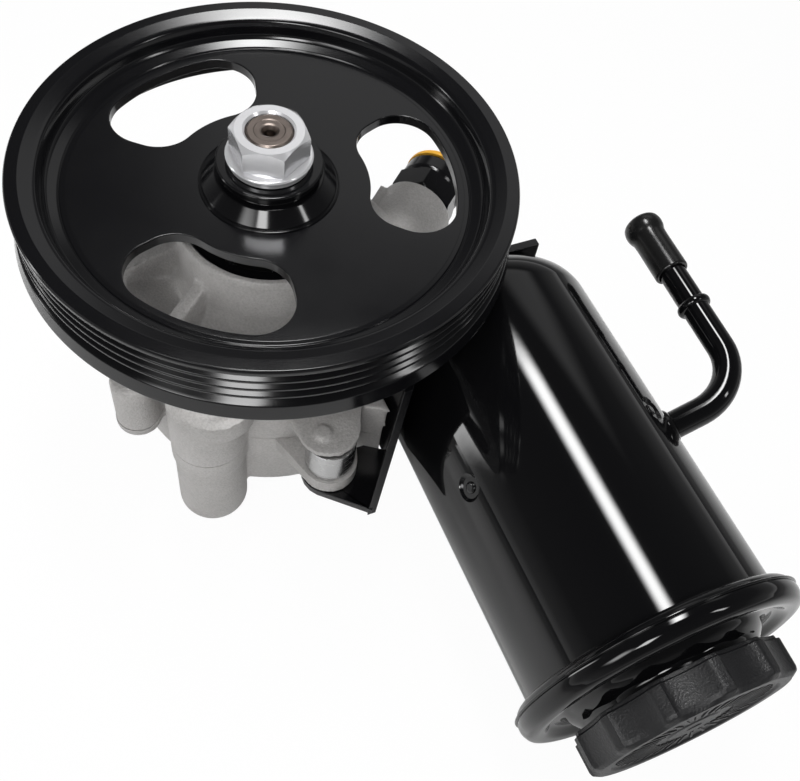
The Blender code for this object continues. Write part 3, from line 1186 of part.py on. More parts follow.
def main():
    clear_scene()
    make_pulley()
    make_hub()
    make_nut_and_washer()
    make_shaft()
    make_front_housing()
    make_rear_housing()
    make_housing_bolts()
    make_orings()
    make_cartridge()
    make_rotor_and_vanes()
    make_bearing()
    make_seals()
    make_flow_valve()
    can_axis = frame("reservoir_axis", (CAN_X, 0.0, CAN_Z), (math.pi / 2, 0.0, 0.0))
    make_can(can_axis)
    make_reservoir_end(can_axis)
    make_cap(can_axis)
    make_return_tube(can_axis)
    make_suction_pipe()
    make_bracket()
    make_bracket_bolts()
    smooth_all()


main()
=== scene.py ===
"""Power steering pump, dressed: pulley, castings, reservoir, cap, tubes and bracket."""
import json
import math

import bmesh
import bpy
from mathutils import Matrix, Vector


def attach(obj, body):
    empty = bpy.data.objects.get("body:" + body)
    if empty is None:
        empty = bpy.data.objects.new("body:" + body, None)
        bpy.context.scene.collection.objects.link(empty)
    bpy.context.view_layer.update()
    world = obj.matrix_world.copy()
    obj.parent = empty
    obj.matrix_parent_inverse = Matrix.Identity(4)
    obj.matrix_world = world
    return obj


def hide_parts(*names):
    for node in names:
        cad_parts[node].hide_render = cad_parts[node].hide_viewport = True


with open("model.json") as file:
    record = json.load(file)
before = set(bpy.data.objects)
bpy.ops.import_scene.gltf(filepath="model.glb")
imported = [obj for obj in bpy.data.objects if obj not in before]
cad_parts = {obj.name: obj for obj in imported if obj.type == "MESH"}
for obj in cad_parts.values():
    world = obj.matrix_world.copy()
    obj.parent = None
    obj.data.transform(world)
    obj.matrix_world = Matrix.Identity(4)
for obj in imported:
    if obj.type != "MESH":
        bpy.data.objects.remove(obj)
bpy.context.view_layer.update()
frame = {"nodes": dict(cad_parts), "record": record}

MM = 0.001
TURN = math.tau

# The photograph's camera, in metres
CAMERA_PLACE = (-0.0742, -0.2095, 0.3240)
CAMERA_RIGHT = (0.9124, -0.3947, 0.1079)
CAMERA_UP = (0.2770, 0.7898, 0.5472)
CAMERA_LENS = 46.02

# Sizes that repeat the part's own, in millimetres and degrees
RIM_FRONT_Z = 107.0
PULLEY_RADIUS = 75.0
PULLEY_BACK_Z = 84.7
WEB_Z = 98.9
WEB_THICKNESS = 3.5
WEB_RADIUS = 60.7
WEB_SEAT_RADIUS = 59.4
WEB_DISC_RADIUS = 59.6
WEB_HOLE_RADIUS = 16.2
WEB_EDGE = 0.35
RIM_BACK_WALL = 67.5
GROOVE_COUNT = 4
GROOVE_PITCH = 3.56
GROOVE_DEPTH = 2.7
FRONT_FLANGE_WIDTH = 2.3
WINDOW_INNER = 30.3
WINDOW_OUTER = 57.6
WINDOW_HALF_ANGLE = 32.3
WINDOW_CORNER = 12.0
WINDOW_MIDDLES = (-11.6, 108.4, 228.4)
HUB_SEAT_Z = 99.2
WASHER_RISE = 9.0
NUT_RISE = 3.2
NUT_HEIGHT = 8.2
NUT_FLATS = 20.8
NUT_CORNER_RADIUS = 11.96
NUT_TURN = 31.0
SHAFT_SUNK = 0.3
THREAD_START_Z = 108.0
THREAD_PITCH = 0.9
SPLIT_Z = 29.0
SPLIT_GAP = 0.15
BODY_RADIUS = 49.3
BODY_FRONT_Z = 60.0
REAR_BODY_RADIUS = 49.0
SNOUT_RADIUS = 29.0
SNOUT_FRONT_Z = 85.5
RIB_ANGLES = (205.0, 166.0)
RIB_THICKNESS = 5.0
CAN_X = 66.7
CAN_Z = 32.4
CAN_RADIUS = 41.0
CAN_END = 20.8
CAN_CORNER = 18.0
CAN_WALL = 1.5
CAN_MOUTH = 158.0
DIMPLE_ANGLES = (51.0, 152.0, 231.0, 332.0)
DIMPLES_ALONG = 95.0
CAP_BASE = 169.1
CAP_TOP = 181.3
CAP_HOLLOWS = 12
FACE_RIB_COUNT = 36
TUBE_TURN = math.radians(21.4)
TUBE_ALONG_CAN = 96.0
TUBE_LEG = 69.5
TUBE_TIP = (71.9, 23.4)
TUBE_BEND = 18.0
TUBE_RADIUS = 4.7
BEAD_ALONG = 37.7
BEAD_HALF_WIDTH = 1.6
BEAD_SWELL = 0.27
SUCTION_X = 60.0
SUCTION_Z = 20.0
SUCTION_RADIUS = 7.0
SUCTION_BEND = 14.0
VALVE_PLACE = (65.0, 20.3, 45.4)
VALVE_TURN = math.radians(42.0)
CHEST_RADIUS = 13.6
CHEST_LENGTH = 38.0
VALVE_BORE = 8.1
VALVE_BORE_DEPTH = 35.0
UNION_FLATS = 22.6
EAR = (0.0, -59.7)
BOSS = (-34.0, -37.5)
BOSS_ROOT = (-17.0, -18.7)
BOSS_RADIUS = 12.6
BOSS_NECK_RADIUS = 9.6
BOSS_BORE = 5.2
BOLT_BOSS_RADIUS = 7.3
BOLT_WAY_RADIUS = 3.3
SIDE_BOLT_ALONG = -2.0
SIDE_BOLT_Z = 7.5
BOLT_PLACES = ((-53.0, -21.5), (-31.4, 46.0), (24.9, 49.8))
FLAT_DISTANCE = 36.1
FLAT_ANGLE = math.radians(-46.2)
FLOOR_Z = -14.7

CAN_PLACE = Matrix.Translation((CAN_X * MM, 0.0, CAN_Z * MM)) @ Matrix.Rotation(math.pi / 2, 4, "X")
VALVE_WAY = Matrix.Translation(Vector(VALVE_PLACE) * MM) @ (
    Matrix.Rotation(VALVE_TURN, 4, "Z") @ Matrix.Rotation(math.pi / 2, 4, "Y")
)


def node(tree, kind, links=(), **settings):
    """Add a node, set its properties and sockets, and link its inputs."""
    made = tree.nodes.new(kind)
    sockets = settings.pop("sockets", {})
    for key, value in settings.items():
        setattr(made, key, value)
    for key, value in sockets.items():
        made.inputs[key].default_value = value
    for key, source in links:
        tree.links.new(source, made.inputs[key])
    return made


def finish(name, colour, metallic, roughness):
    """A material with its Principled shader and its coordinates, for the patterns below."""
    material = bpy.data.materials.new(name)
    material.use_nodes = True
    tree = material.node_tree
    shader = tree.nodes["Principled BSDF"]
    values = {"Base Color": (*colour, 1.0), "Metallic": metallic, "Roughness": roughness, "IOR": 1.5}
    for key, value in values.items():
        shader.inputs[key].default_value = value
    place = node(tree, "ShaderNodeTexCoord").outputs["Object"]
    return material, tree, shader, place


def maths(tree, operation, a, b=None):
    made = node(tree, "ShaderNodeMath", operation=operation)
    for i, value in enumerate((a, b)):
        if isinstance(value, (int, float)):
            made.inputs[i].default_value = value
        elif value is not None:
            tree.links.new(value, made.inputs[i])
    return made.outputs[0]


def speckle(tree, place, scale, detail, rough=0.6):
    return node(tree, "ShaderNodeTexNoise", [("Vector", place)],
                sockets={"Scale": scale, "Detail": detail, "Roughness": rough}).outputs["Fac"]


def spread(tree, value, low, high, start=0.3, end=0.7):
    """Map a pattern to a range of values."""
    links = [("Value", value)]
    sockets = {"From Min": start, "From Max": end, "To Min": low, "To Max": high}
    return node(tree, "ShaderNodeMapRange", links, sockets=sockets).outputs["Result"]


def tint(tree, value, dark, light):
    sockets = {6: (*dark, 1.0), 7: (*light, 1.0)}
    return node(tree, "ShaderNodeMix", [("Factor", value)], data_type="RGBA", sockets=sockets).outputs[2]


def relief(tree, shader, height, strength, distance):
    sockets = {"Strength": strength, "Distance": distance}
    bump = node(tree, "ShaderNodeBump", [("Height", height)], sockets=sockets)
    tree.links.new(bump.outputs["Normal"], shader.inputs["Normal"])


def cast_aluminium(name, dark, light, grain):
    """Sand-cast skin: fine pits, a slow change of tone and duller patches."""
    material, tree, shader, place = finish(name, light, 0.25, 0.5)
    slow = spread(tree, speckle(tree, place, 45.0, 4.0), 0.0, 0.5)
    fine = speckle(tree, place, 1300.0, 3.0, 0.6)
    tone = maths(tree, "ADD", slow, spread(tree, fine, 0.0, 0.5, 0.35, 0.65))
    tree.links.new(tint(tree, tone, dark, light), shader.inputs["Base Color"])
    tree.links.new(spread(tree, fine, 0.36, 0.56), shader.inputs["Roughness"])
    relief(tree, shader, fine, grain, 0.0006)
    return material


def black_paint(name, base, roughness, peel):
    """Sprayed paint with a faint orange peel and a slow change of gloss."""
    material, tree, shader, place = finish(name, base, 0.0, roughness)
    ripple = speckle(tree, place, 260.0, 1.0)
    cloud = speckle(tree, place, 30.0, 3.0)
    tree.links.new(spread(tree, cloud, roughness * 0.85, roughness * 1.15), shader.inputs["Roughness"])
    relief(tree, shader, ripple, peel, 0.0002)
    return material


def bright_metal(name, colour, roughness, scratch=0.01, change=0.12, metallic=1.0):
    """Plated or machined metal with fine drawn lines."""
    material, tree, shader, place = finish(name, colour, metallic, roughness)
    mapping = node(tree, "ShaderNodeMapping", [("Vector", place)], sockets={"Scale": (260.0, 260.0, 900.0)})
    lines = speckle(tree, mapping.outputs["Vector"], 1.0, 5.0, 0.7)
    worn = spread(tree, lines, roughness * (1 - change), roughness * (1 + change))
    tree.links.new(worn, shader.inputs["Roughness"])
    relief(tree, shader, lines, scratch, 0.0001)
    return material


def grained_plastic(name, base, roughness, scale, depth):
    """Plastic or rubber with a fine grain, which is also in its gloss."""
    material, tree, shader, place = finish(name, base, 0.0, roughness)
    grain = speckle(tree, place, scale, 2.0, 0.5)
    tree.links.new(spread(tree, grain, roughness * 0.85, roughness * 1.15), shader.inputs["Roughness"])
    relief(tree, shader, grain, depth, 0.0003)
    return material


FINISHES = {
    "cast_aluminium": cast_aluminium("cast aluminium", (0.36, 0.35, 0.34), (0.56, 0.545, 0.535), 0.5),
    "machined_steel": bright_metal("machined steel", (0.58, 0.58, 0.58), 0.26),
    "shaft_steel": bright_metal("shaft steel", (0.22, 0.185, 0.165), 0.36, 0.05, change=0.25),
    "zinc_plate": bright_metal("zinc plate", (0.86, 0.86, 0.88), 0.2, metallic=0.65),
    "gloss_black": black_paint("gloss black", (0.003, 0.003, 0.0034), 0.06, 0.02),
    "hub_black": black_paint("hub black", (0.0035, 0.0035, 0.004), 0.1, 0.01),
    "satin_black": black_paint("satin black", (0.0038, 0.0038, 0.0045), 0.17, 0.01),
    "rim_black": black_paint("rim black", (0.0038, 0.0038, 0.0045), 0.13, 0.01),
    "moulded_black": grained_plastic("moulded black", (0.008, 0.008, 0.009), 0.42, 1500.0, 0.5),
    "black_rubber": grained_plastic("black rubber", (0.008, 0.008, 0.008), 0.22, 500.0, 0.03),
    "yellow_plastic": grained_plastic("yellow plastic", (0.86, 0.44, 0.035), 0.4, 700.0, 0.05),
    "brass": bright_metal("brass", (0.70, 0.52, 0.22), 0.3),
}


def group(name, sockets):
    """A geometry node tree with its named inputs and their kinds."""
    tree = bpy.data.node_groups.new(name, "GeometryNodeTree")
    tree.interface.new_socket("Geometry", in_out="OUTPUT", socket_type="NodeSocketGeometry")
    tree.interface.new_socket("Geometry", in_out="INPUT", socket_type="NodeSocketGeometry")
    for key, kind in sockets.items():
        tree.interface.new_socket(key, in_out="INPUT", socket_type="NodeSocket" + kind)
    tree.interface.new_socket("Material", in_out="INPUT", socket_type="NodeSocketMaterial")
    source = node(tree, "NodeGroupInput")
    return tree, source.outputs


def close_group(tree, geometry, material):
    """End a tree with real geometry and its material."""
    real = node(tree, "GeometryNodeRealizeInstances", [("Geometry", geometry)])
    dressed = node(tree, "GeometryNodeSetMaterial", [("Geometry", real.outputs[0]), ("Material", material)])
    node(tree, "NodeGroupOutput", [("Geometry", dressed.outputs[0])])


def turned_tree():
    """Turn a line of points in the XZ plane about Z, like work in a lathe."""
    tree, given = group("turned piece", {"Steps": "Int"})
    counted = node(tree, "GeometryNodeAttributeDomainSize", [("Geometry", given["Geometry"])])
    size = counted.outputs["Point Count"]
    around = maths(tree, "ADD", given["Steps"], 1)
    grid = node(tree, "GeometryNodeMeshGrid", [("Vertices X", around), ("Vertices Y", size)])
    index = node(tree, "GeometryNodeInputIndex").outputs[0]
    row = maths(tree, "FLOOR", maths(tree, "DIVIDE", maths(tree, "ADD", index, 0.5), size))
    along = maths(tree, "SUBTRACT", index, maths(tree, "MULTIPLY", row, size))
    position = node(tree, "GeometryNodeInputPosition").outputs[0]
    point = node(tree, "GeometryNodeSampleIndex",
                 [("Geometry", given["Geometry"]), ("Value", position), ("Index", along)],
                 data_type="FLOAT_VECTOR")
    angle = maths(tree, "MULTIPLY", row, maths(tree, "DIVIDE", TURN, given["Steps"]))
    spun = node(tree, "ShaderNodeVectorRotate", [("Vector", point.outputs[0]), ("Angle", angle)],
                rotation_type="Z_AXIS")
    placed = node(tree, "GeometryNodeSetPosition",
                  [("Geometry", grid.outputs["Mesh"]), ("Position", spun.outputs[0])])
    merged = node(tree, "GeometryNodeMergeByDistance", [("Geometry", placed.outputs[0])],
                  sockets={"Distance": 1e-6})
    close_group(tree, merged.outputs[0], given["Material"])
    return tree


def pipe_tree():
    """A round pipe along a line of points, whose thickness follows their radius."""
    tree, given = group("pipe", {"Steps": "Int", "Radius": "Float"})
    curve = node(tree, "GeometryNodeMeshToCurve", [("Mesh", given["Geometry"])])
    grow = node(tree, "GeometryNodeInputNamedAttribute", data_type="FLOAT", sockets={"Name": "swell"})
    size = node(tree, "GeometryNodeSetCurveRadius",
                [("Curve", curve.outputs[0]), ("Radius", grow.outputs[0])])
    ring = node(tree, "GeometryNodeCurvePrimitiveCircle",
                [("Resolution", given["Steps"]), ("Radius", given["Radius"])])
    skin = node(tree, "GeometryNodeCurveToMesh",
                [("Curve", size.outputs[0]), ("Profile Curve", ring.outputs[0])],
                sockets={"Fill Caps": True})
    if "Scale" in skin.inputs:
        tree.links.new(grow.outputs[0], skin.inputs["Scale"])
    close_group(tree, skin.outputs[0], given["Material"])
    return tree


def ridge_tree():
    """Press wide hollows between narrow ridges into a round edge."""
    wants = {"Ridges": "Int", "Ridge Share": "Float", "Hollow Depth": "Float", "Inner Radius": "Float",
             "Outer Radius": "Float"}
    tree, given = group("ridged edge", wants)
    position = node(tree, "GeometryNodeInputPosition").outputs[0]
    axes = node(tree, "ShaderNodeSeparateXYZ", [("Vector", position)]).outputs
    angle = maths(tree, "ARCTAN2", axes["Y"], axes["X"])
    share = maths(tree, "FRACT", maths(tree, "MULTIPLY", maths(tree, "DIVIDE", angle, TURN), given["Ridges"]))
    room = maths(tree, "SUBTRACT", 1.0, given["Ridge Share"])
    hollow = maths(tree, "DIVIDE", maths(tree, "SUBTRACT", share, given["Ridge Share"]), room)
    swing = maths(tree, "MULTIPLY", maths(tree, "MAXIMUM", hollow, 0.0), math.pi)
    wave = maths(tree, "POWER", maths(tree, "SINE", swing), 0.6)
    flat = node(tree, "ShaderNodeCombineXYZ", [("X", axes["X"]), ("Y", axes["Y"])]).outputs[0]
    length = node(tree, "ShaderNodeVectorMath", [(0, flat)], operation="LENGTH").outputs["Value"]
    limits = [("Value", length), ("From Min", given["Inner Radius"]), ("From Max", given["Outer Radius"])]
    edge = node(tree, "ShaderNodeMapRange", limits, clamp=True).outputs["Result"]
    push = maths(tree, "MULTIPLY", maths(tree, "MULTIPLY", wave, given["Hollow Depth"]), edge)
    way = node(tree, "ShaderNodeVectorMath", [(0, flat)], operation="NORMALIZE").outputs[0]
    inward = node(tree, "ShaderNodeVectorMath", [(0, way), ("Scale", maths(tree, "MULTIPLY", push, -1.0))],
                  operation="SCALE").outputs[0]
    pressed = node(tree, "GeometryNodeSetPosition", [("Geometry", given["Geometry"]), ("Offset", inward)])
    close_group(tree, pressed.outputs[0], given["Material"])
    return tree


TURNED = turned_tree()
PIPE = pipe_tree()
RIDGED = ridge_tree()


def put(name, data):
    piece = bpy.data.objects.new(name, data)
    bpy.context.collection.objects.link(piece)
    return piece


def modify(piece, name, kind, **settings):
    """Add a modifier and set its properties."""
    made = piece.modifiers.new(name, kind)
    for key, value in settings.items():
        setattr(made, key, value)


def freed(name, mesh):
    """The data of a mesh that was being edited."""
    data = bpy.data.meshes.new(name)
    mesh.to_mesh(data)
    mesh.free()
    return data


def smooth(data, angle=32.0):
    data.shade_smooth()
    data.set_sharp_from_angle(angle=math.radians(angle))


def heal(data):
    """Merge doubles and turn the faces outwards on a closed mesh."""
    mesh = bmesh.new()
    mesh.from_mesh(data)
    bmesh.ops.remove_doubles(mesh, verts=mesh.verts, dist=1e-7)
    bmesh.ops.dissolve_degenerate(mesh, edges=mesh.edges, dist=1e-8)
    bmesh.ops.recalc_face_normals(mesh, faces=mesh.faces)
    mesh.to_mesh(data)
    mesh.free()
    return data


def evaluated(piece):
    """The mesh that a piece has after its modifiers, which are then cleared."""
    bpy.context.view_layer.update()
    graph = bpy.context.evaluated_depsgraph_get()
    data = bpy.data.meshes.new_from_object(piece.evaluated_get(graph))
    piece.modifiers.clear()
    return data


def settle(piece):
    """Turn a piece with its modifiers into a plain mesh."""
    piece.data = heal(evaluated(piece))
    smooth(piece.data)


def grow(name, tree, data, slot, settings, place=None):
    """Run a geometry node tree on a mesh and keep its result."""
    piece = put(name, data)
    modifier = piece.modifiers.new(tree.name, "NODES")
    modifier.node_group = tree
    settings = {"Material": FINISHES[slot], **settings}
    for item in tree.interface.items_tree:
        if item.in_out == "INPUT" and item.name in settings:
            modifier[item.identifier] = settings[item.name]
    settle(piece)
    if place:
        piece.data.transform(place)
    return piece


def line_mesh(points, swell=None):
    """Points joined by edges, in millimetres; swell is the pipe's own scale at each."""
    data = bpy.data.meshes.new("line")
    edges = [(i, i + 1) for i in range(len(points) - 1)]
    data.from_pydata([Vector(p) * MM for p in points], edges, [])
    if swell:
        layer = data.attributes.new("swell", "FLOAT", "POINT")
        layer.data.foreach_set("value", swell)
    return data


def rounded(corners):
    """A line through (radius, height, rounding) corners, with each rounded by short steps."""
    points = []
    count = len(corners)
    for i, (x, z, size) in enumerate(corners):
        here = Vector((x, z))
        if not size:
            points.append(here)
            continue
        before = Vector(corners[i - 1][:2]) - here
        after = Vector(corners[(i + 1) % count][:2]) - here
        reach = min(size, 0.45 * before.length, 0.45 * after.length)
        first = here + before.normalized() * reach
        last = here + after.normalized() * reach
        steps = 5
        for k in range(steps + 1):
            t = k / steps
            points.append(first * (1 - t) ** 2 + here * 2 * t * (1 - t) + last * t**2)
    return points


def turn_piece(name, corners, slot, steps=128, place=None, closed=True):
    """A lathe piece from rounded corners; closed is for a profile that comes back to its start."""
    points = [(p.x, 0.0, p.y) for p in rounded(corners)]
    if closed:
        points.append(points[0])
    return grow(name, TURNED, line_mesh(points), slot, {"Steps": steps}, place)


def turned_part(name, corners, slot, body, steps, place=None, closed=True):
    """A lathe piece that takes the place of the solid with its name."""
    stand_for(turn_piece(name, corners, slot, steps, place, closed), body, slot, name)


def loft(loops, endless=False):
    """A closed skin through loops of equal length, in millimetres; endless joins the last to the first."""
    mesh = bmesh.new()
    rows = [[mesh.verts.new(Vector(point) * MM) for point in loop] for loop in loops]
    if not endless:
        mesh.faces.new(rows[0])
        mesh.faces.new(rows[-1])
    for low, high in zip(rows, rows[1:] + rows[:endless]):
        for i in range(len(low)):
            j = (i + 1) % len(low)
            mesh.faces.new((low[i], low[j], high[j], high[i]))
    bmesh.ops.recalc_face_normals(mesh, faces=mesh.faces)
    return mesh


def ring_points(radius, z, steps, centre=(0.0, 0.0)):
    angles = [i * TURN / steps for i in range(steps)]
    return [(centre[0] + radius * math.cos(a), centre[1] + radius * math.sin(a), z) for a in angles]


def disc(profile, steps=64, centre=(0.0, 0.0)):
    """A solid round shape from (radius, z) pairs, in millimetres."""
    return loft([ring_points(r, z, steps, centre) for r, z in profile])


def arc(centre, radius, start, end, steps):
    angles = [math.radians(start + (end - start) * i / steps) for i in range(steps + 1)]
    return [(centre[0] + radius * math.cos(a), centre[1] + radius * math.sin(a)) for a in angles]


def capsule(start, end, start_radius, end_radius, steps=14):
    x, y = end[0] - start[0], end[1] - start[1]
    heading = math.degrees(math.atan2(y, x))
    lean = math.degrees(math.acos((start_radius - end_radius) / math.hypot(x, y)))
    far = arc(end, end_radius, heading - lean, heading + lean, steps)
    return far + arc(start, start_radius, heading + lean, heading + 360 - lean, steps)


def prism(outline, z0, z1):
    return loft([[(x, y, z0) for x, y in outline], [(x, y, z1) for x, y in outline]])


def gathered(name, shapes):
    """One object from many shapes that overlap."""
    whole = bmesh.new()
    for shape in shapes:
        data = freed("shape", shape)
        whole.from_mesh(data)
        bpy.data.meshes.remove(data)
    return put(name, freed(name, whole))


def cut(piece, shapes, operation="DIFFERENCE"):
    """Cut shapes from a piece, join them to it, or keep what they share."""
    for shape in shapes:
        tool = gathered("tool", [shape])
        modify(piece, "cut", "BOOLEAN", operation=operation, solver="MANIFOLD", object=tool)
        piece.data = evaluated(piece)
        bpy.data.objects.remove(tool, do_unlink=True)


def moved(shape, matrix):
    shape.transform(matrix)
    return shape


def cast(name, shapes, voxel, passes):
    """Melt overlapping shapes into one casting with soft inner and outer corners."""
    piece = gathered(name, shapes)
    modify(piece, "remesh", "REMESH", mode="VOXEL", voxel_size=voxel * MM)
    modify(piece, "soften", "SMOOTH", factor=0.5, iterations=passes)
    piece.data = evaluated(piece)
    return piece


def fuse(body, extra):
    """Join a second casting to the first, and leave one piece."""
    tool = bmesh.new()
    tool.from_mesh(extra.data)
    cut(body, [tool], "UNION")
    bpy.data.objects.remove(extra, do_unlink=True)


def paint(piece, slot):
    piece.data.materials.clear()
    piece.data.materials.append(FINISHES[slot])
    return piece


def bevelled(piece, width, segments, angle):
    modify(piece, "bevel", "BEVEL", width=width * MM, segments=segments, limit_method="ANGLE",
           angle_limit=math.radians(angle), miter_outer="MITER_ARC")
    settle(piece)


def join(name, pieces):
    """Several plain meshes as one piece, with their materials."""
    whole = bmesh.new()
    materials = []
    for piece in pieces:
        start = len(whole.faces)
        whole.from_mesh(piece.data)
        whole.faces.ensure_lookup_table()
        slots = []
        for material in piece.data.materials:
            if material not in materials:
                materials.append(material)
            slots.append(materials.index(material))
        for face in whole.faces[start:]:
            face.material_index = slots[face.material_index]
    data = freed(name, whole)
    for material in materials:
        data.materials.append(material)
    for piece in pieces:
        bpy.data.objects.remove(piece, do_unlink=True)
    smooth(data)
    return put(name, data)


def stand_for(piece, body, slot, *nodes):
    """Let a piece ride on its body and take the place of the plain solids."""
    modify(piece, "even shading", "WEIGHTED_NORMAL", keep_sharp=True, weight=70)
    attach(piece, body)
    if nodes:
        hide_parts(*nodes)


def window_outline(middle):
    """A window with round corners between two arcs about the pulley's axis."""
    edge = WINDOW_HALF_ANGLE
    corner = WINDOW_CORNER
    outer = WINDOW_OUTER - corner
    inner = WINDOW_INNER + corner
    outer_turn = edge - math.degrees(math.asin(corner / outer))
    inner_turn = edge - math.degrees(math.asin(corner / inner))

    def polar(radius, degrees):
        angle = math.radians(degrees)
        return (radius * math.cos(angle), radius * math.sin(angle))

    points = arc((0, 0), WINDOW_OUTER, -outer_turn, outer_turn, 20)
    points += arc(polar(outer, outer_turn), corner, outer_turn, edge + 90, 16)[1:]
    points += arc(polar(inner, inner_turn), corner, edge + 90, inner_turn + 180, 16)
    points += arc((0, 0), WINDOW_INNER, inner_turn, -inner_turn, 20)[1:]
    points += arc(polar(inner, -inner_turn), corner, 180 - inner_turn, 270 - edge, 16)[1:]
    points += arc(polar(outer, -outer_turn), corner, 270 - edge, 360 - outer_turn, 16)[:-1]
    turn = Matrix.Rotation(math.radians(middle), 2)
    return [tuple(turn @ Vector(point)) for point in points]


def make_pulley():
    """Belt rim turned from its profile, and the web pressed with its three windows."""
    front, radius = RIM_FRONT_Z, PULLEY_RADIUS
    web_back = WEB_Z - WEB_THICKNESS
    corners = [(WEB_SEAT_RADIUS, web_back, 0.0), (WEB_SEAT_RADIUS, WEB_Z, 0.0), (WEB_RADIUS, WEB_Z, 0.15)]
    corners += [(61.1, WEB_Z - 0.35, 0.2), (61.5, WEB_Z + 0.15, 0.2), (64.2, WEB_Z + 1.3, 0.4)]
    corners += [(65.1, WEB_Z + 2.3, 0.9), (65.7, 103.6, 0.5), (66.4, 105.3, 0.6), (67.4, 105.9, 0.5)]
    corners += [(71.0, front, 0.12), (radius - 0.5, front, 0.2)]
    corners += [(radius, front - 0.7, 0.3), (radius, front - FRONT_FLANGE_WIDTH + 0.5, 0.2)]
    crest = radius - 0.6
    root = radius - GROOVE_DEPTH
    for i in range(GROOVE_COUNT):
        top = front - FRONT_FLANGE_WIDTH - i * GROOVE_PITCH
        corners += [(crest, top - 0.12 * GROOVE_PITCH, 0.3), (root, top - 0.5 * GROOVE_PITCH, 0.4)]
        corners += [(crest, top - 0.88 * GROOVE_PITCH, 0.3)]
    flange = front - FRONT_FLANGE_WIDTH - GROOVE_COUNT * GROOVE_PITCH
    corners += [(radius, flange, 0.3), (radius + 1.0, PULLEY_BACK_Z + 0.7, 0.4)]
    corners += [(radius + 0.3, PULLEY_BACK_Z, 0.3)]
    corners += [(RIM_BACK_WALL, PULLEY_BACK_Z, 0.5), (RIM_BACK_WALL, web_back, 1.5)]
    rim = turn_piece("pulley_rim", corners, "rim_black", 240)
    curve = bpy.data.curves.new("web", "CURVE")
    curve.dimensions = "2D"
    curve.fill_mode = "BOTH"
    edge = WEB_EDGE * MM
    curve.extrude = WEB_THICKNESS * MM / 2 - edge
    curve.bevel_depth = edge
    curve.bevel_resolution = 3
    rings = [ring_points(WEB_DISC_RADIUS - WEB_EDGE, 0.0, 200), ring_points(WEB_HOLE_RADIUS, 0.0, 96)]
    outlines = [[point[:2] for point in ring] for ring in rings]
    outlines += [window_outline(middle) for middle in WINDOW_MIDDLES]
    for outline in outlines:
        spline = curve.splines.new("POLY")
        spline.points.add(len(outline) - 1)
        for point, (x, y) in zip(spline.points, outline):
            point.co = (x * MM, y * MM, 0.0, 1.0)
        spline.use_cyclic_u = True
    holder = put("web_curve", curve)
    web = put("pulley_web", bpy.data.meshes.new_from_object(holder))
    bpy.data.objects.remove(holder, do_unlink=True)
    web.data.transform(Matrix.Translation((0.0, 0.0, (WEB_Z - WEB_THICKNESS / 2) * MM)))
    heal(web.data)
    paint(web, "satin_black")
    stand_for(join("pulley", [rim, web]), "rotating_group", "satin_black", "pulley")


def make_hub():
    """Gloss cone, waist and collar, and the bright washer and nut on the shaft's thread."""
    seat = HUB_SEAT_Z
    corners = [(8.6, seat + 8.7, 0.3), (15.6, seat + 8.7, 0.35)]
    corners += [(15.9, seat + 8.3, 0.3), (15.9, seat + 6.4, 0.35)]
    corners += [(14.4, seat + 6.1, 0.4), (14.4, seat + 4.7, 0.4), (16.2, seat + 4.4, 0.3)]
    corners += [(20.2, seat + 0.75, 0.25), (20.2, seat + 0.15, 0.1)]
    corners += [(20.6, seat + 0.1, 0.1), (20.8, seat + 0.3, 0.1)]
    corners += [(21.1, seat + 0.2, 0.15), (21.1, seat - 0.25, 0.1), (15.5, seat - 0.25, 0.0)]
    corners += [(15.5, seat - 9.0, 0.4), (8.6, seat - 9.0, 0.4)]
    stand_for(turn_piece("pulley_hub", corners, "hub_black", 160), "rotating_group", "gloss_black",
              "pulley_hub", "shaft_key")
    base = seat + WASHER_RISE
    corners = [(7.3, base, 0.0), (12.3, base, 0.2), (12.4, base + 1.5, 0.2), (12.9, base + 1.7, 0.3)]
    corners += [(13.0, base + 2.3, 0.3), (12.6, base + 2.8, 0.3)]
    corners += [(10.9, base + 3.1, 0.2), (7.3, base + 3.1, 0.2)]
    turned_part("pulley_washer", corners, "zinc_plate", "rotating_group", 128)
    make_nut(base + NUT_RISE)
    make_shaft(base + NUT_RISE + NUT_HEIGHT - SHAFT_SUNK)


def make_nut(low):
    """Hexagon nut: its flats run up into the turned chamfer, which leaves the arched edges."""
    high = low + NUT_HEIGHT
    flat = NUT_FLATS / 2
    steps = 144
    places = ("hole foot", "foot", "side foot", "side top", "face", "hole edge", "thread top", "thread foot")
    rows = []
    for place in places:
        row = []
        for i in range(steps):
            turn = i * TURN / steps
            corner = (turn + math.pi / 6) % (math.pi / 3) - math.pi / 6
            reach = min(flat / math.cos(math.pi / 6 - abs(corner)), NUT_CORNER_RADIUS)
            radius, z = {
                "hole foot": (8.1, low),
                "foot": (min(reach, 11.7), low),
                "side foot": (reach, low + 0.04 + 0.6 * max(0.0, reach - 11.7)),
                "side top": (reach, high - (reach - 10.2) * 0.86),
                "face": (10.1, high),
                "hole edge": (7.75, high),
                "thread top": (7.1, high - 0.6),
                "thread foot": (7.1, low + 0.8),
            }[place]
            angle = turn + math.radians(NUT_TURN)
            row.append((radius * math.cos(angle), radius * math.sin(angle), z))
        rows.append(row)
    nut = put("pulley_nut", freed("skin", loft(rows, True)))
    smooth(nut.data, 20.0)
    paint(nut, "zinc_plate")
    stand_for(nut, "rotating_group", "zinc_plate", "pulley_nut")


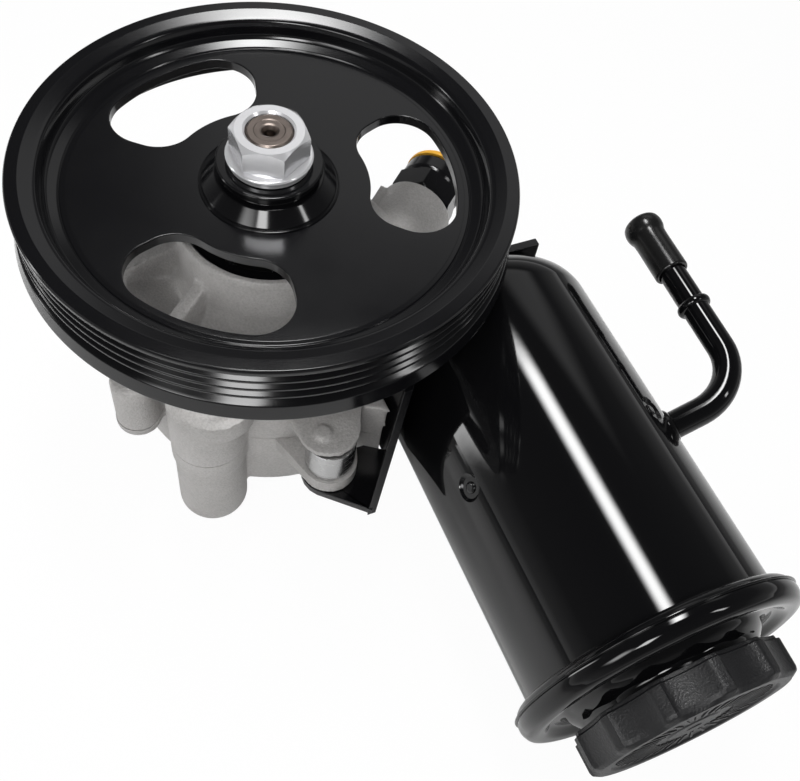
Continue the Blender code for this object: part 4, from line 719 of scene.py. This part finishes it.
def make_shaft(tip):
    """The shaft from its tail to the threaded end with the centre hole."""
    corners = [(0.0, 15.0, 0.0), (7.8, 15.0, 0.3), (8.0, 15.5, 0.2), (8.0, 54.0, 0.0), (9.9, 54.3, 0.0)]
    corners += [(9.9, 66.6, 0.0), (11.6, 66.6, 0.2), (11.6, 66.9, 0.0), (9.9, 66.9, 0.0), (9.9, 89.6, 0.0)]
    corners += [(8.3, 90.0, 0.0), (8.3, 107.6, 0.0)]
    z = THREAD_START_Z
    while z < tip - 1.4:
        corners += [(6.75, z, 0.0), (7.0, z + THREAD_PITCH / 2, 0.1), (6.75, z + THREAD_PITCH, 0.0)]
        z += THREAD_PITCH
    corners += [(6.9, tip - 0.5, 0.2), (6.4, tip, 0.2), (4.6, tip, 0.1), (4.4, tip - 0.12, 0.1)]
    corners += [(2.9, tip - 0.12, 0.1), (2.3, tip - 0.3, 0.15), (1.7, tip - 1.5, 0.1), (1.6, tip - 6.0, 0.0)]
    corners += [(0.0, tip - 6.5, 0.0)]
    turned_part("shaft", corners, "shaft_steel", "rotating_group", 96, closed=False)


def flat_block(distance, low, high):
    """What lies beyond the castings' flat side, between two heights."""
    reach = 120.0
    outline = [(distance, -reach), (distance + reach, -reach), (distance + reach, reach), (distance, reach)]
    turn = Matrix.Rotation(FLAT_ANGLE, 2)
    return prism([tuple(turn @ Vector(point)) for point in outline], low, high)


def rib(angle):
    """A sloping rib between the body's front and the snout."""
    half = RIB_THICKNESS / 2
    section = [(24.0, 57.5), (BODY_RADIUS, 57.5), (BODY_RADIUS, 62.5), (24.0, 78.5)]
    shape = loft([[(x, y, z) for x, z in section] for y in (-half, half)])
    return moved(shape, Matrix.Rotation(math.radians(angle), 4, "Z"))


def ear_web(far):
    """The outline of the web beside the ear, out to the given X."""
    return [(5.0, -48.0), (13.0, -53.0), (far, -57.5), (far, -38.0), (12.0, -36.0), (0.0, -40.0)]


def everything(low, high):
    """A block wider than the castings, between two heights."""
    return prism([(-90, -90), (90, -90), (90, 90), (-90, 90)], low, high)


def front_casting():
    """Round body, snout, bosses, ear and valve chest, melted together and then machined."""
    low = SPLIT_Z - 2.0
    barrel = [(48.5, low), (48.5, SPLIT_Z + 0.6), (BODY_RADIUS, SPLIT_Z + 1.6), (BODY_RADIUS, 57.5)]
    barrel += [(46.8, BODY_FRONT_Z), (36.0, BODY_FRONT_Z)]
    shapes = [
        disc(barrel, 160),
        disc([(SNOUT_RADIUS, low), (SNOUT_RADIUS, SNOUT_FRONT_Z)], 120),
        disc([(34.5, 58.0), (31.0, 61.5), (29.4, 65.5), (28.0, 66.0)], 120),
        disc([(BOSS_RADIUS, low), (BOSS_RADIUS, 52.0), (9.8, 55.0)], 64, BOSS),
        prism(capsule(BOSS_ROOT, BOSS, BOSS_RADIUS, BOSS_NECK_RADIUS), low, 53.5),
        disc([(11.6, 44.4), (13.3, 45.8), (13.3, 53.6)], 64, (-31.4, -38.8)),
    ]
    bolt_boss = [(BOLT_BOSS_RADIUS, low), (BOLT_BOSS_RADIUS, 49.0), (6.3, 50.0)]
    for place in BOLT_PLACES:
        shapes += [disc(bolt_boss, 48, place)]
        shapes += [prism(capsule((0.0, 0.0), place, BOLT_BOSS_RADIUS, 4.3), low, 47.0)]
    shapes += [rib(angle) for angle in RIB_ANGLES]
    body = cast("front_casting", shapes, 0.8, 5)
    cut(body, [flat_block(FLAT_DISTANCE, low - 2.0, 59.8)])
    beside = [(19.7, low), (21.1, 44.5)]
    chest = [(CHEST_RADIUS, -CHEST_LENGTH), (CHEST_RADIUS, -1.0), (12.8, 0.0)]
    pad = [(-8.0, 9.6), (8.0, 9.6), (8.0, 14.2), (-8.0, 14.2)]
    ears = [
        prism(capsule((3.0, -38.0), (EAR[0], -57.0), 15.3, 10.3), 43.4, 45.6),
        loft([[(x, y, z) for x, y in ear_web(far)] for far, z in beside]),
        disc([(2.9, 44.0), (2.9, 46.4), (2.4, 46.9)], 40, (-2.7, -58.8)),
        moved(disc(chest, 64), VALVE_WAY),
        moved(prism(pad, -34.0, -3.0), VALVE_WAY),
    ]
    fuse(body, cast("ears", ears, 0.7, 4))
    inside = [(33.0, SPLIT_Z - 3.0), (33.0, 54.0), (10.5, 54.0), (10.5, 59.5), (17.0, 59.5), (17.0, 66.9)]
    inside += [(26.3, 66.9), (26.3, 84.4), (27.2, 85.6), (27.2, 90.0)]
    bores = [
        everything(low - 8.0, SPLIT_Z + SPLIT_GAP),
        disc(inside, 120),
        disc([(BOSS_BORE, low - 8.0), (BOSS_BORE, 54.3), (6.3, 55.6)], 48, BOSS),
        moved(disc([(VALVE_BORE, -VALVE_BORE_DEPTH), (VALVE_BORE, 3.0)], 48), VALVE_WAY),
    ]
    bolt_way = [(BOLT_WAY_RADIUS, low - 6.0), (BOLT_WAY_RADIUS, 43.0)]
    cut(body, bores + [disc(bolt_way, 32, place) for place in BOLT_PLACES])
    paint(body, "cast_aluminium")
    smooth(body.data, 40.0)
    stand_for(body, "housing", "cast_aluminium", "front_housing")


def rear_casting():
    """The rear cover with the long boss's lower half, the ear's ring and the flat back."""
    high = SPLIT_Z + 2.0
    barrel = [(45.5, 0.0), (48.0, 1.0), (REAR_BODY_RADIUS, 4.0), (REAR_BODY_RADIUS, SPLIT_Z - 1.4)]
    barrel += [(48.4, SPLIT_Z - 0.5), (48.4, high)]
    boss = [(8.8, -12.8), (10.9, -11.6), (11.9, -9.0), (11.9, 20.5), (BOSS_RADIUS, 21.3), (BOSS_RADIUS, high)]
    shapes = [
        disc(barrel, 160),
        disc(boss, 64, BOSS),
        prism(capsule(BOSS_ROOT, BOSS, BOSS_RADIUS, BOSS_NECK_RADIUS), 3.0, high),
    ]
    for place in BOLT_PLACES:
        shapes += [disc([(7.0, 25.4), (7.5, 26.0), (7.5, high)], 48, place)]
        shapes += [prism(capsule((0.0, 0.0), place, BOLT_BOSS_RADIUS, 5.3), 26.0, high)]
    body = cast("rear_casting", shapes, 0.8, 4)
    cut(body, [flat_block(FLAT_DISTANCE, -20.0, high + 4.0)])
    arm = prism(capsule((0.0, -37.0), EAR, 16.5, 9.2, 24), 22.5, high)
    fuse(body, cast("arm", [arm, prism(ear_web(19.8), 6.0, high)], 0.7, 3))
    turn = Matrix.Translation((0.0, 0.0, SUCTION_Z)) @ Matrix.Rotation(math.pi / 2, 4, "Y")
    bores = [
        everything(SPLIT_Z - SPLIT_GAP, high + 9.0),
        disc([(10.7, 14.7), (10.7, high + 6.0)], 64),
        disc([(6.2, -13.5), (BOSS_BORE, -12.2), (BOSS_BORE, high + 6.0)], 48, BOSS),
        disc([(4.3, 0.0), (4.3, high + 6.0)], 40, EAR),
        scaled(disc([(7.3, 38.7), (7.3, 98.0)], 48), turn),
    ]
    bolt_way = [(BOLT_WAY_RADIUS, 0.0), (BOLT_WAY_RADIUS, high + 6.0)]
    bores += [disc(bolt_way, 32, place) for place in BOLT_PLACES]
    bores += [scaled(disc([(BOLT_WAY_RADIUS, 22.0), (BOLT_WAY_RADIUS, 80.0)], 32), side_bolt_way())]
    cut(body, bores)
    paint(body, "cast_aluminium")
    smooth(body.data, 40.0)
    stand_for(body, "housing", "cast_aluminium", "rear_housing")


def scaled(shape, way):
    """Move a shape by a matrix whose place is in millimetres."""
    matrix = way.copy()
    matrix.translation = way.translation * MM
    return moved(shape, matrix)


def side_bolt_way():
    """The bracket's side bolt, square to the castings' flat side, in millimetres."""
    across = Vector((math.cos(FLAT_ANGLE), math.sin(FLAT_ANGLE)))
    place = Vector((-across.y, across.x)) * SIDE_BOLT_ALONG
    turn = Matrix.Rotation(FLAT_ANGLE, 4, "Z") @ Matrix.Rotation(math.pi / 2, 4, "Y")
    return Matrix.Translation((place.x, place.y, SIDE_BOLT_Z)) @ turn


def make_ear_bush():
    corners = [(4.4, 29.2, 0.0), (8.2, 29.2, 0.2), (8.2, 42.6, 0.2), (4.4, 42.6, 0.0)]
    place = Matrix.Translation((EAR[0] * MM, EAR[1] * MM, 0.0))
    turned_part("ear_bush", corners, "machined_steel", "housing", 96, place)


def make_union():
    """Black union with its hexagon and collar, and the yellow plug."""
    reach = UNION_FLATS / math.sqrt(3.0)
    outline = [(reach * math.cos(i * TURN / 6), reach * math.sin(i * TURN / 6)) for i in range(6)]
    union = gathered("pressure_union", [prism(outline, 0.3, 10.5)])
    cut(union, [disc([(11.6, 0.2), (reach + 0.1, 1.6), (reach + 0.1, 9.2), (11.4, 10.6)], 96)], "INTERSECT")
    bevelled(union, 0.2, 2, 20.0)
    paint(union, "satin_black")
    corners = [(4.0, -5.0, 0.0), (7.8, -5.0, 0.3), (7.8, 9.8, 0.0), (11.4, 10.2, 0.0), (12.0, 11.6, 0.5)]
    corners += [(12.0, 16.9, 0.6), (11.4, 17.6, 0.3), (4.0, 17.6, 0.0)]
    collar = turn_piece("collar", corners, "satin_black", 96)
    whole = join("pressure_union", [union, collar])
    whole.data.transform(VALVE_WAY)
    stand_for(whole, "housing", "satin_black", "pressure_union")
    corners = [(0.0, 12.2, 0.0), (3.6, 12.2, 0.2), (3.6, 17.9, 0.0), (12.3, 17.9, 0.3), (12.2, 19.6, 0.8)]
    corners += [(10.6, 21.7, 1.6), (6.5, 23.1, 2.0), (0.0, 23.4, 0.0)]
    turned_part("shipping_plug", corners, "yellow_plastic", "housing", 96, VALVE_WAY, closed=False)


def can_corner(size, angles):
    """The round corner at the can's closed end, for its outer or its inner skin."""
    across, along = CAN_RADIUS - CAN_CORNER, CAN_END + CAN_CORNER
    return [(across + size * math.sin(angle), along - size * math.cos(angle)) for angle in angles]


def on_can(turn, out, along):
    """A place on the can with its Z pointing outwards."""
    way = Matrix.Rotation(turn, 4, "Z") @ Matrix.Translation((out * MM, 0.0, along * MM))
    return way @ Matrix.Rotation(math.pi / 2, 4, "Y")


def make_can():
    """Drawn can with its rounded end, four dimples with their pins, and the two ports."""
    outer = can_corner(CAN_CORNER, [i * math.pi / 48 for i in range(25)])
    inner = can_corner(CAN_CORNER - CAN_WALL, [i * math.pi / 24 for i in range(12, -1, -1)])
    profile = [(0.0, CAN_END)] + outer + [(CAN_RADIUS, CAN_MOUTH), (CAN_RADIUS - CAN_WALL, CAN_MOUTH)]
    profile += inner + [(0.0, CAN_END + CAN_WALL)]
    points = [(r, 0.0, z) for r, z in profile]
    can = grow("reservoir_can", TURNED, line_mesh(points), "gloss_black", {"Steps": 192})
    holes = []
    pins = []
    for degrees in DIMPLE_ANGLES:
        way = on_can(math.radians(degrees), CAN_RADIUS, DIMPLES_ALONG)
        holes.append(moved(disc([(3.4, -0.95), (4.1, -0.5), (4.6, 0.1), (5.0, 0.9)], 40), way))
        pin = [(0.0, -1.3, 0.0), (1.9, -1.3, 0.0), (1.9, -0.55, 0.3), (1.2, -0.3, 0.3), (0.0, -0.35, 0.0)]
        pins.append(turn_piece("pin", pin, "gloss_black", 32, way, closed=False))
    holes.append(moved(disc([(5.0, 20.0), (5.0, 80.0)], 40), on_can(TUBE_TURN, 0.0, TUBE_ALONG_CAN)))
    holes.append(disc([(7.3, 0.0), (7.3, 36.0)], 40, (SUCTION_X - CAN_X, SUCTION_Z - CAN_Z)))
    cut(can, holes)
    smooth(can.data, 25.0)
    paint(can, "gloss_black")
    can = join("reservoir_can", [can] + pins)
    can.data.transform(CAN_PLACE)
    stand_for(can, "housing", "gloss_black", "reservoir_can")


def make_reservoir_end():
    """Rolled flange, dished plate and filler neck, with the bead of the seam."""
    corners = [(41.3, 155.7, 0.0), (43.6, 155.6, 0.6), (45.4, 156.6, 1.4), (46.6, 159.2, 1.6)]
    corners += [(46.6, 161.6, 1.6), (45.2, 164.2, 1.4), (43.0, 164.9, 0.9), (40.2, 164.6, 0.8)]
    corners += [(37.5, 162.3, 1.2), (33.4, 162.3, 1.2), (32.0, 164.8, 0.9), (29.6, 167.4, 0.9)]
    corners += [(29.5, 176.1, 0.5), (27.5, 176.1, 0.5), (27.5, 160.8, 0.8)]
    corners += [(30.0, 158.3, 0.5), (41.3, 158.3, 0.0)]
    end = turn_piece("reservoir_end", corners, "gloss_black", 192)
    corners = [(46.3, 157.9, 0.0), (46.95, 158.2, 0.25), (46.95, 158.75, 0.25), (46.3, 159.0, 0.0)]
    bead = turn_piece("seam_bead", corners, "gloss_black", 192)
    whole = join("reservoir_end", [end, bead])
    whole.data.transform(CAN_PLACE)
    stand_for(whole, "housing", "gloss_black", "reservoir_end")


def make_cap():
    """Moulded screw cap with wide hollows between narrow ridges and a raised rim on its face."""
    base, top = CAP_BASE, CAP_TOP
    corners = [(2.4, top - 3.0, 0.0), (30.1, top - 3.0, 0.4), (30.1, base, 0.3), (33.2, base, 0.3)]
    corners += [(33.3, base + 1.1, 0.2), (34.2, base + 1.3, 0.3)]
    corners += [(34.0, top - 2.4, 0.2), (33.6, top - 1.2, 0.4)]
    corners += [(31.4, top, 0.5), (27.6, top, 0.4), (27.0, top - 0.9, 0.3), (9.0, top - 0.9, 0.3)]
    corners += [(8.4, top - 0.4, 0.3), (2.4, top - 0.4, 0.0)]
    points = [(p.x, 0.0, p.y) for p in dense(rounded(corners))]
    cap = grow("cap_blank", TURNED, line_mesh(points + [points[0]]), "moulded_black", {"Steps": 288})
    settings = {"Ridges": CAP_HOLLOWS, "Ridge Share": 0.2, "Hollow Depth": 2.3 * MM,
                "Inner Radius": 31.0 * MM, "Outer Radius": 33.9 * MM}
    data = cap.data
    bpy.data.objects.remove(cap, do_unlink=True)
    cap = grow("filler_cap", RIDGED, data, "moulded_black", settings, CAN_PLACE)
    ribs = []
    section = [(12.5, top - 1.1), (25.6, top - 1.1), (25.4, top - 0.45), (12.7, top - 0.45)]
    for i in range(FACE_RIB_COUNT):
        way = CAN_PLACE @ Matrix.Rotation(i * TURN / FACE_RIB_COUNT, 4, "Z")
        ribs.append(moved(loft([[(x, y, z) for x, z in section] for y in (-0.45, 0.45)]), way))
    cap = join("filler_cap", [cap, paint(gathered("face_ribs", ribs), "moulded_black")])
    stand_for(cap, "cap_body", "moulded_black", "filler_cap")
    stick = [(0.0, 101.4, 0.0), (1.6, 101.4, 0.3), (2.0, 102.4, 0.3), (2.0, 181.2, 0.3), (0.0, 181.2, 0.0)]
    turned_part("dipstick", stick, "moulded_black", "stick_body", 40, CAN_PLACE, closed=False)


def dense(points, step=0.8):
    """Extra points on long stretches of a closed line."""
    result = []
    for here, there in zip(points, points[1:] + points[:1]):
        count = max(1, int((there - here).length / step))
        result += [here.lerp(there, i / count) for i in range(count)]
    return result


def bent(corners, bend, steps=14):
    """A route with its inner corners rounded, in millimetres."""
    points = [corners[0]]
    for before, corner, after in zip(corners, corners[1:], corners[2:]):
        back = (before - corner).normalized()
        ahead = (after - corner).normalized()
        half = back.angle(ahead) / 2
        centre = corner + (back + ahead).normalized() * bend / math.sin(half)
        first = (corner + back * bend / math.tan(half) - centre).normalized()
        last = (corner + ahead * bend / math.tan(half) - centre).normalized()
        points += [centre + first.slerp(last, i / steps) * bend for i in range(steps + 1)]
    return points + [corners[-1]]


def pipe_part(name, route, swell, radius, slot, place=None):
    """A round pipe along a route, on the housing."""
    settings = {"Steps": 48, "Radius": radius * MM}
    pipe = grow(name, PIPE, line_mesh(route, swell), slot, settings, place)
    stand_for(pipe, "housing", slot, name)


def make_tubes():
    """Return tube with its bead, the collar at its foot and its rubber sleeve."""
    out = Vector((math.cos(TUBE_TURN), math.sin(TUBE_TURN), 0.0))
    along = Vector((0.0, 0.0, TUBE_ALONG_CAN))
    tip = out * TUBE_TIP[0] + Vector((0.0, 0.0, TUBE_TIP[1]))
    route = bent([out * 38.0 + along, out * TUBE_LEG + along, tip], TUBE_BEND)
    leg = (out * TUBE_LEG + along - tip).normalized()
    swell = [1.0] * len(route)
    for share in range(-6, 7):
        route.insert(-1, tip + leg * (BEAD_ALONG - share / 6 * BEAD_HALF_WIDTH))
        swell.insert(-1, 1.0 + BEAD_SWELL * math.sqrt(max(0.0, 1 - (share / 6) ** 2)))
    pipe_part("return_tube", route, swell, TUBE_RADIUS, "gloss_black", CAN_PLACE)
    collar = [(4.6, -0.6, 0.0), (6.6, -0.8, 0.3), (6.0, 0.6, 0.5), (4.9, 1.4, 0.5), (4.6, 1.6, 0.0)]
    way = CAN_PLACE @ on_can(TUBE_TURN, CAN_RADIUS, TUBE_ALONG_CAN)
    weld = turn_piece("tube_weld", collar, "gloss_black", 64, way)
    stand_for(weld, "housing", "gloss_black")
    end = -2.3
    corners = [(0.0, end, 0.0), (4.4, end, 1.2), (6.5, end + 1.3, 1.2), (7.05, end + 3.6, 1.2)]
    corners += [(6.9, end + 5.6, 1.0), (6.15, end + 7.6, 1.0), (6.05, end + 10.5, 1.2)]
    corners += [(6.1, end + 24.3, 0.3), (5.8, end + 24.9, 0.25), (5.0, end + 24.9, 0.1)]
    corners += [(4.8, end + 2.5, 0.0), (0.0, end + 2.3, 0.0)]
    way = CAN_PLACE @ Matrix.Translation(tip * MM) @ leg.to_track_quat("Z", "X").to_matrix().to_4x4()
    turned_part("tube_sleeve", corners, "black_rubber", "housing", 80, way, closed=False)


def make_suction_pipe():
    """The bent pipe from the can into the rear casting."""
    route = [(SUCTION_X, -23.8, SUCTION_Z), (SUCTION_X, 0.0, SUCTION_Z), (39.0, 0.0, SUCTION_Z)]
    route = bent([Vector(point) for point in route], SUCTION_BEND)
    pipe_part("suction_pipe", route, [1.0] * len(route), SUCTION_RADIUS, "satin_black")


def copy_of(name, new_name, width, slot, body, segments=3, angle=30.0):
    """A CAD solid's own shape with its edges rounded."""
    piece = put(new_name, heal(frame["nodes"][name].data.copy()))
    mesh = bmesh.new()
    mesh.from_mesh(piece.data)
    bmesh.ops.dissolve_limit(mesh, angle_limit=math.radians(1.0), verts=mesh.verts, edges=mesh.edges)
    mesh.to_mesh(piece.data)
    mesh.free()
    modify(piece, "weld", "WELD", merge_threshold=1e-6)
    bevelled(piece, width, segments, angle)
    paint(piece, slot)
    stand_for(piece, body, slot, name)


def make_bracket():
    """The folded sheet and every bolt head, from the CAD solids."""
    copy_of("bracket", "bracket_plate", 0.5, "satin_black", "housing")
    for name in ("bracket_bolt_1", "bracket_bolt_2", "housing_bolt_1", "housing_bolt_2", "housing_bolt_3"):
        copy_of(name, name + "_head", 0.25, "zinc_plate", "housing", 2, 40.0)


def dress_the_rest():
    """Give each CAD solid its finish."""
    for part in frame["record"]["subparts"]:
        thing = frame["nodes"][part["node"]]
        thing.data.materials.clear()
        thing.data.materials.append(FINISHES[part["material_slot"]])


def soft_light(name, place, target, size, power, blur):
    """An area lamp whose edges fade in reflections, by a share of its width and its height."""
    lamp = bpy.data.lights.new(name, "AREA")
    lamp.shape = "RECTANGLE"
    lamp.size, lamp.size_y = size
    lamp.energy = power
    holder = put(name, lamp)
    way = Vector(target) - Vector(place)
    holder.matrix_world = Matrix.Translation(place) @ way.to_track_quat("-Z", "Y").to_matrix().to_4x4()
    lamp.use_nodes = True
    tree = lamp.node_tree
    spot = node(tree, "ShaderNodeNewGeometry").outputs["Parametric"]
    axes = node(tree, "ShaderNodeSeparateXYZ", [("Vector", spot)]).outputs
    fades = []
    for axis, width in zip("XY", blur):
        centred = maths(tree, "ABSOLUTE", maths(tree, "SUBTRACT", axes[axis], 0.5))
        sockets = {"From Min": 0.5, "From Max": 0.5 - width, "To Min": 0.0, "To Max": 1.0}
        fade = node(tree, "ShaderNodeMapRange", [("Value", centred)], interpolation_type="SMOOTHSTEP",
                    sockets=sockets)
        fades.append(fade.outputs[0])
    tree.links.new(maths(tree, "MULTIPLY", fades[0], fades[1]), tree.nodes["Emission"].inputs["Strength"])


def make_world():
    """White to the camera, and a studio of bright floor and dim ceiling to the gloss."""
    world = bpy.data.worlds.new("studio")
    bpy.context.scene.world = world
    world.use_nodes = True
    tree = world.node_tree
    way = node(tree, "ShaderNodeTexCoord").outputs["Generated"]
    height = node(tree, "ShaderNodeSeparateXYZ", [("Vector", way)]).outputs["Z"]
    sky = node(tree, "ShaderNodeValToRGB", [("Fac", spread(tree, height, 0.0, 1.0, -1.0, 1.0))])
    ramp = sky.color_ramp
    ramp.elements[0].position = 0.0
    ramp.elements[0].color = (0.85, 0.85, 0.85, 1.0)
    ramp.elements[1].position = 1.0
    ramp.elements[1].color = (0.03, 0.03, 0.03, 1.0)
    for place, level in ((0.5, 0.7), (0.55, 0.3), (0.7, 0.08)):
        step = ramp.elements.new(place)
        step.color = (level, level, level, 1.0)
    light = node(tree, "ShaderNodeLightPath").outputs
    mixed = node(tree, "ShaderNodeMix", [("Factor", light["Is Glossy Ray"]), (7, sky.outputs["Color"])],
                 data_type="RGBA", sockets={6: (0.5, 0.5, 0.5, 1.0)})
    direct = maths(tree, "MAXIMUM", light["Is Camera Ray"], light["Is Transmission Ray"])
    seen = node(tree, "ShaderNodeMix", [("Factor", direct), (6, mixed.outputs[2])],
                data_type="RGBA", sockets={7: (1.0, 1.0, 1.0, 1.0)})
    tree.links.new(seen.outputs[2], tree.nodes["Background"].inputs["Color"])


def make_floor():
    """A pale floor that goes white to the camera and keeps a faint shadow; to all other rays its colour is a
    painted pool of light, pale near the pump and darker farther out.
    """
    material = bpy.data.materials.new("floor")
    material.use_nodes = True
    tree = material.node_tree
    shader = tree.nodes["Principled BSDF"]
    # Painted pool of light: the floor's base colour is pale near the pump and darker farther out, which shows
    # in reflections and in the light the floor throws back
    spot = node(tree, "ShaderNodeTexCoord").outputs["Object"]
    away = node(tree, "ShaderNodeVectorMath", [(0, spot)], operation="LENGTH").outputs["Value"]
    fade = spread(tree, away, 0.0, 1.0, 0.1, 0.55)
    tree.links.new(tint(tree, fade, (0.85, 0.85, 0.85), (0.22, 0.22, 0.22)), shader.inputs["Base Color"])
    shader.inputs["Roughness"].default_value = 0.9
    shader.inputs["Specular IOR Level"].default_value = 0.0
    glow = node(tree, "ShaderNodeEmission", sockets={"Strength": 1.0})
    light = node(tree, "ShaderNodeLightPath").outputs
    share = maths(tree, "MULTIPLY", light["Is Camera Ray"], 0.965)
    mixed = node(tree, "ShaderNodeMixShader", [("Fac", share), (1, shader.outputs[0]), (2, glow.outputs[0])])
    tree.links.new(mixed.outputs[0], tree.nodes["Material Output"].inputs["Surface"])
    mesh = bmesh.new()
    bmesh.ops.create_grid(mesh, x_segments=1, y_segments=1, size=6.0)
    data = freed("floor", mesh)
    data.transform(Matrix.Translation((0.0, 0.0, FLOOR_Z * MM)))
    data.materials.append(material)
    put("floor", data)


def make_camera():
    """The photograph's own place and angle."""
    data = bpy.data.cameras.new("camera")
    data.sensor_width = 36.0
    data.lens = CAMERA_LENS
    data.clip_start = 0.01
    holder = put("camera", data)
    right = Vector(CAMERA_RIGHT)
    up = Vector(CAMERA_UP)
    back = right.cross(up)
    turn = Matrix((right, up, back)).transposed().to_4x4()
    holder.matrix_world = Matrix.Translation(CAMERA_PLACE) @ turn
    bpy.context.scene.camera = holder


def make_lights():
    """Panels and strips that draw the highlights, each towards the piece it is for."""
    bpy.context.scene.view_settings.view_transform = "Standard"
    soft_light("web panel", (0.62, 0.80, 0.92), (0.0, 0.0, 0.1), (1.15, 0.7), 1.3, blur=(0.2, 0.3))
    soft_light("can strip", (0.095, 0.20, 1.07), (0.06, -0.11, 0.07), (0.30, 0.56), 13.0, blur=(0.45, 0.2))
    soft_light("left strip", (-0.95, 0.40, 0.20), (0.03, -0.09, 0.05), (0.17, 0.75), 3.0, blur=(0.45, 0.3))
    soft_light("front key", (-0.42, -0.67, 1.03), (0.0, -0.02, 0.1), (0.34, 0.42), 6.0, blur=(0.25, 0.25))
    soft_light("side key", (-0.95, -0.62, 0.95), (-0.02, -0.03, 0.04), (0.7, 0.7), 9.0, blur=(0.4, 0.4))
    soft_light("right strip", (0.64, -0.68, 0.88), (0.0, -0.02, 0.1), (0.13, 0.4), 1.6, blur=(0.3, 0.25))


make_camera()
make_world()
make_floor()
make_lights()
dress_the_rest()
make_pulley()
make_hub()
front_casting()
rear_casting()
make_ear_bush()
make_union()
make_can()
make_reservoir_end()
make_cap()
make_tubes()
make_suction_pipe()
make_bracket()
